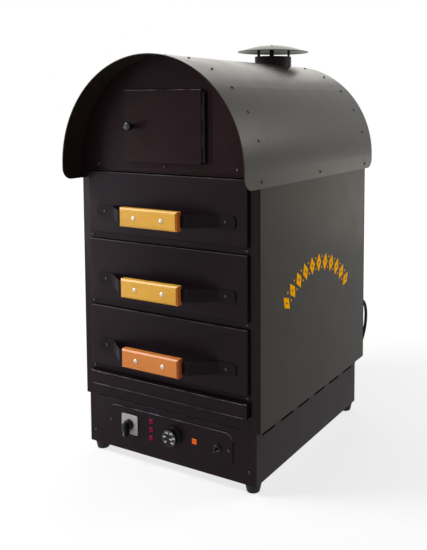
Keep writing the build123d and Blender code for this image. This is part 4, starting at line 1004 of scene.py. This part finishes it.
# %% Rolled rim and rivets
FLUE_Y = 505
RIM_Z = 1003.3
RIM_RADIUS = 98.75
WIRE_RADIUS = 1.2
STRUTS = 3
STRUT_RING = 47
CAP_RISE = 15.4
hold_nothing()
bpy.ops.mesh.primitive_circle_add(vertices=10, radius=WIRE_RADIUS * MM, fill_type="NOTHING",
                                  location=(RIM_RADIUS * MM, 0, WIRE_RADIUS * MM),
                                  rotation=(math.pi / 2, 0, 0))
rim = settled(bpy.context.object)
bpy.ops.object.mode_set(mode="EDIT")
bpy.ops.mesh.select_all(action="SELECT")
bpy.ops.mesh.spin(steps=96, angle=2 * math.pi, center=(0, 0, 0), axis=(0, 0, 1))
bpy.ops.mesh.select_all(action="SELECT")
bpy.ops.mesh.remove_doubles(threshold=MERGE)
bpy.ops.mesh.normals_make_consistent(inside=False)
end_edit()
rim.matrix_world = Matrix.Translation(at(0, FLUE_Y, RIM_Z))
rim_parts = [rim]
for strut in range(STRUTS):
    angle = math.radians(-65 + 360 / STRUTS * strut)
    rivet = turned([(3.4, -0.8), (3.4, 0.2), (2.9, 1.1), (1.6, 1.7), (0.3, 1.8)], 20)
    rivet.matrix_world = Matrix.Translation(
        at(STRUT_RING * math.cos(angle), FLUE_Y + STRUT_RING * math.sin(angle), RIM_Z + CAP_RISE))
    rim_parts.append(rivet)
rim = joined([settled(piece) for piece in rim_parts])
fit(rim, "cap_rim_and_rivets", roof_enamel, "oven_body")
smooth(rim, 50)
print("rolled rim:", len(rim.data.polygons), "faces")

# %% Feet
FOOT_X = 219
FOOT_ROWS = (23, 531)
feet = []
for x in (-FOOT_X, FOOT_X):
    for y in FOOT_ROWS:
        foot = turned([(11.5, 0), (13.8, 0.4), (14.9, 1.6), (15.2, 3.4), (16.6, 9.5), (16.9, 10.2),
                       (16.5, 11.0), (16.9, 12.0), (18.4, 17.0), (18.8, 18.6), (19.0, 20.0),
                       (19.0, 21.8), (18.0, 22.0), (1.0, 22.0)], 40)
        foot.matrix_world = Matrix.Translation(at(x, y, 0))
        feet.append(settled(foot))
rubber_feet = joined(feet)
fit(rubber_feet, "rubber_feet", rubber, "oven_body", ["feet"])
smooth(rubber_feet, 40)
print("feet:", len(rubber_feet.data.polygons), "faces")

# %% [markdown]
# ## Mains lead
# The lead leaves a gland low on the back, drops behind the cabinet, and the rest of it lies on
# the table as a neat coil behind the oven, with its plug beside it. A lead is one soft line, so
# it is drawn as one smooth curve whose control points pull it along, and never as straight runs
# with rounded corners. The coil's turns are more points of the same curve: three turns side by
# side, from the outside in, then two in the grooves on top of them, from the inside out. The
# curve cuts inside its points, so CUT_IN sets them a little further out than the turn itself.

# %% Route of the lead
LEAD_D = 0.009
GLAND_X = 224
GLAND_Z = 290
route = [
    at(GLAND_X, 617, GLAND_Z), at(GLAND_X, 643, GLAND_Z), at(223, 667, 264), at(222, 674, 226),
    at(219, 665, 182), at(210, 647, 138), at(198, 631, 92), at(184, 621, 47),
    at(162, 616, 16.8), at(130, 603, 4.8), at(100, 603, 4.8),
]
COIL_X = 62
COIL_Y = 662
first_turns = [(59, 4.8), (50, 4.8), (41, 4.8)]
top_turns = [(45.5, 12.6), (54.5, 12.6)]
PER_TURN = 12
EASED_POINTS = 5
CUT_IN = math.cos(math.pi / PER_TURN)


def turns(rows):
    """Points of some flat turns, clockwise from the front, easing into each next turn."""
    points = []
    for row, (radius, height) in enumerate(rows):
        after = rows[min(row + 1, len(rows) - 1)]
        for step in range(PER_TURN):
            ease = max(0.0, (step - (PER_TURN - EASED_POINTS)) / EASED_POINTS)
            angle = -math.pi / 2 - 2 * math.pi * step / PER_TURN
            reach = (radius + (after[0] - radius) * ease) / CUT_IN
            points.append(at(COIL_X + reach * math.cos(angle), COIL_Y + reach * math.sin(angle),
                             height + (after[1] - height) * ease))
    return points


route += turns(first_turns + top_turns)
route += [at(62, 606.8, 12.6), at(40, 607.2, 12.4), at(10, 607.5, 12.3), at(-23.5, 607.5, 12.3)]
print("route of the lead:", len(route), "points")

# %% A smooth line
def smooth_line(name, points, diameter):
    """A NURBS curve along its control points, with a round section."""
    curve = bpy.data.curves.new(name, "CURVE")
    curve.dimensions = "3D"
    curve.bevel_depth = diameter / 2
    curve.bevel_resolution = 5
    curve.use_fill_caps = True
    curve.resolution_u = 6
    spline = curve.splines.new("NURBS")
    spline.points.add(len(points) - 1)
    for point, place in zip(spline.points, points):
        point.co = (*place, 1.0)
    spline.order_u = 3
    spline.use_endpoint_u = True
    line = bpy.data.objects.new(name, curve)
    bpy.context.scene.collection.objects.link(line)
    return line


print("ready to draw a line")

# %% [markdown]
# ## Gland, ties and plug
# Where the lead leaves the back it passes a nut and a ribbed sleeve, which keeps it from
# kinking. Two plastic ties hold the coil: each is a block that narrows upwards, with a slightly
# smaller block cut out of it. The plug lies on its back with its three pins up.

# %% Gland
RIBS = 6
RIB_STEP = 4.1
SLEEVE_START = 8.6
nut = turned([(6.0, -1.5), (6.4, -1.4), (6.4, 0), (10.3, 0), (11.0, 0.8), (11.0, 7.2),
              (10.3, 8.0), (8.8, 8.0)], 6)
sleeve_line = [(8.6, 8.0)]
for rib in range(RIBS):
    start = SLEEVE_START + rib * RIB_STEP
    for along, sunk in ((0.0, 0.0), (2.5, 0.0), (2.8, 0.9), (3.8, 0.9)):
        sleeve_line.append((8.5 - 2.5 * (start + along - 8) / 26 - sunk, start + along))
sleeve_line += [(6.0, 33.4), (5.7, 34.0), (4.9, 34.0), (4.7, 33.0), (1.0, 33.0)]
sleeve = turned(sleeve_line, 28)
inner_nut = turned([(5.0, -6.5), (8.6, -6.5), (9.0, -6.1), (9.0, -1.6), (5.0, -1.6)], 24)
gland = joined([nut, sleeve, inner_nut])
gland.matrix_world = facing(at(GLAND_X, REAR_FACE, GLAND_Z), BACKWARD)
fit(gland, "lead_gland", black_plastic, "oven_body", ["cable_gland"])
smooth(gland, 30)
print("gland:", len(gland.data.polygons), "faces")

# %% Two ties
def narrowed(half, low, waist, high, top, width):
    """A block on its end, as wide as twice half up to its waist and then narrowing."""
    piece = bar(0, 0, (low + waist) / 2, 2 * half, width, waist - low)
    start_edit(piece, "FACE", lambda face: face.normal.z > 0.5)
    bpy.ops.mesh.extrude_region_move(
        TRANSFORM_OT_translate={"value": (0, 0, (high - waist) * MM)})
    bpy.ops.transform.resize(value=(top, 1, 1))
    end_edit()
    return piece


TIE_RING = 50
for number, side in enumerate((-1, 1)):
    tie = narrowed(14.4, 0.05, 8.4, 17.9, 0.70, 7)
    cut(tie, narrowed(13.7, 0.3, 8.2, 17.3, 0.69, 12))
    tie_head = bar(13.6, 0, 11.0, 3.4, 6, 5)
    tie = joined([tie, tie_head])
    tie.matrix_world = (Matrix.Translation(at(COIL_X + side * TIE_RING, COIL_Y, 0))
                        @ Matrix.Rotation(0 if side > 0 else math.pi, 4, "Z"))
    fit(tie, f"coil_tie_{number + 1}", black_plastic, "oven_body")

# %% Plug
PLUG_X = -46.5
PLUG_Y = 607.5
PLUG_Z = 12.3
PLUG_WIDTH = 46
PLUG_HEIGHT = 24


def upright(edge):
    """Whether an edge of the plug runs from its bottom to its top."""
    return abs(edge.verts[0].co.z - edge.verts[1].co.z) > PLUG_HEIGHT / 2 * MM


plug = bar(PLUG_X, PLUG_Y, PLUG_Z, PLUG_WIDTH, 50, PLUG_HEIGHT)
start_edit(plug, "EDGE", upright)
bpy.ops.mesh.bevel(offset=8 * MM, segments=6, affect="EDGES")
end_edit()
plug = eased(plug, 2.2 * MM, 3)
plug.location = at(0, 0, 0)
nose = turned([(8.5, -0.5), (8.2, 2.0), (6.6, 9.0), (5.4, 16.0), (5.0, 17.0), (4.6, 17.0)], 24)
nose.matrix_world = facing(at(PLUG_X + PLUG_WIDTH / 2, PLUG_Y, PLUG_Z), RIGHT)
plug_body = joined([settled(plug), settled(nose)])
fit(plug_body, "plug_body", black_plastic, "oven_body", ["mains_plug"])
smooth(plug_body, 35)
print("plug:", len(plug_body.data.polygons), "faces")

# %% Pins of the plug
pins = [bar(PLUG_X - 13, PLUG_Y, 35.0, 4, 8, 22.6)]
for side in (-1, 1):
    pins.append(bar(PLUG_X + 10, PLUG_Y + side * 11, 32.5, 4, 6.4, 17.6))
plug_pins = joined([eased(pin, 0.6 * MM) for pin in pins])
plug_pins.location = at(0, 0, 0)
fit(plug_pins, "plug_pins", nickel, "oven_body", ["mains_plug"])
print("pins:", len(plug_pins.data.polygons), "faces")

# %% Draw the lead
lead = smooth_line("mains_lead", route, LEAD_D)
paint(lead, rubber)
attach(lead, "oven_body")
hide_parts("mains_cord", "mains_coil")
print("lead drawn")

# %% [markdown]
# ## Table and light
# The oven stands on a plain pale table before a white wall. One large soft lamp stands low to
# the left of the camera, so the knobs and grips throw soft shadows to the right, and one hangs
# overhead for the crest of the roof. A third lights the right side.
# Behind the oven, a wide lamp draws the back of the roof, and a small warm one leaves a soft
# sheen high on the right side. The wall is not a real wall but the world's colour, which is
# white for the camera and for reflections and dimmer as a light, so that the lamps and not the
# wall light the oven. The table fades from matt to that same white away from the oven.

# %% World
world = bpy.data.worlds.new("white wall")
bpy.context.scene.world = world
world.use_nodes = True
AS_A_LIGHT = 0.35


def seen(net):
    """1 for what the camera, a reflection or glass sees, and 0 for what only gives light."""
    mask = net.node("ShaderNodeLightPath", out="Is Camera Ray")
    for kind in ("Is Glossy Ray", "Is Transmission Ray"):
        mask = mask.sum("MAXIMUM", mask, net.node("ShaderNodeLightPath", out=kind))
    return mask


air = Net(world.node_tree)
backdrop = air.tree.nodes["Background"]
air.join((1, 1, 1, 1), backdrop.inputs["Color"])
level = air.node("ShaderNodeMapRange", {}, {
    "Value": seen(air), "To Min": AS_A_LIGHT, "To Max": 1.0})
air.join(level, backdrop.inputs["Strength"])
print("world:", world.name)

# %% Table
hold_nothing()
bpy.ops.mesh.primitive_circle_add(vertices=96, radius=9, fill_type="NGON", location=(0, 0, 0))
table = bpy.context.object
table.name = "table"
table_top = Finish("pale table", "stage", (0.8, 0.8, 0.8, 1.0), 0.7, Specular_IOR_Level=0.1)
glow = table_top.node("ShaderNodeEmission", {}, {"Color": (1, 1, 1, 1), "Strength": 1.12})
matt = Wire(table_top, table_top.shader.outputs[0])
reach = table_top.node("ShaderNodeVectorMath", {"operation": "LENGTH"}, {0: table_top.spot()}, 1)
fade = table_top.node("ShaderNodeMapRange", {"interpolation_type": "SMOOTHSTEP"}, {
    "Value": reach, "From Min": 0.6, "From Max": 2.0, "To Min": 0.62, "To Max": 1.0})
blend = table_top.node("ShaderNodeMixShader", {}, {0: seen(table_top) * fade, 1: matt, 2: glow})
table_top.join(blend, table_top.tree.nodes["Material Output"].inputs["Surface"])
paint(table, table_top)
print("table laid")

# %% Lamps
DAYLIGHT = (1.0, 1.0, 1.0)


def softbox(name, place, target, size, power, colour=DAYLIGHT):
    """A square lamp of so many watts that faces its target."""
    lamp_data = bpy.data.lights.new(name, "AREA")
    lamp_data.shape = "SQUARE"
    lamp_data.size = size
    lamp_data.energy = power
    lamp_data.color = colour
    lamp = bpy.data.objects.new(name, lamp_data)
    bpy.context.scene.collection.objects.link(lamp)
    lamp.location = place
    lamp.rotation_euler = (Vector(target) - Vector(place)).to_track_quat("-Z", "Y").to_euler()
    lamp.visible_camera = False


softbox("key lamp", (-2.1, -1.75, 0.25), (0, -0.25, 0.5), 0.9, 14)
softbox("front top lamp", (-1.5, -1.1, 2.2), (0, -0.2, 0.5), 1.0, 58)
softbox("side lamp", (2.0, 1.6, 1.8), (0.2, 0.2, 0.5), 1.2, 26)
softbox("sheen lamp", (1.1, 2.4, 0.32), (0.25, 0.2, 0.6), 0.5, 1.3, (1.0, 0.92, 0.78))
softbox("back lamp", (-1.3, 2.3, 2.0), (0, 0, 0.9), 2.2, 16, (1.0, 0.95, 0.87))
print("five lamps hung")
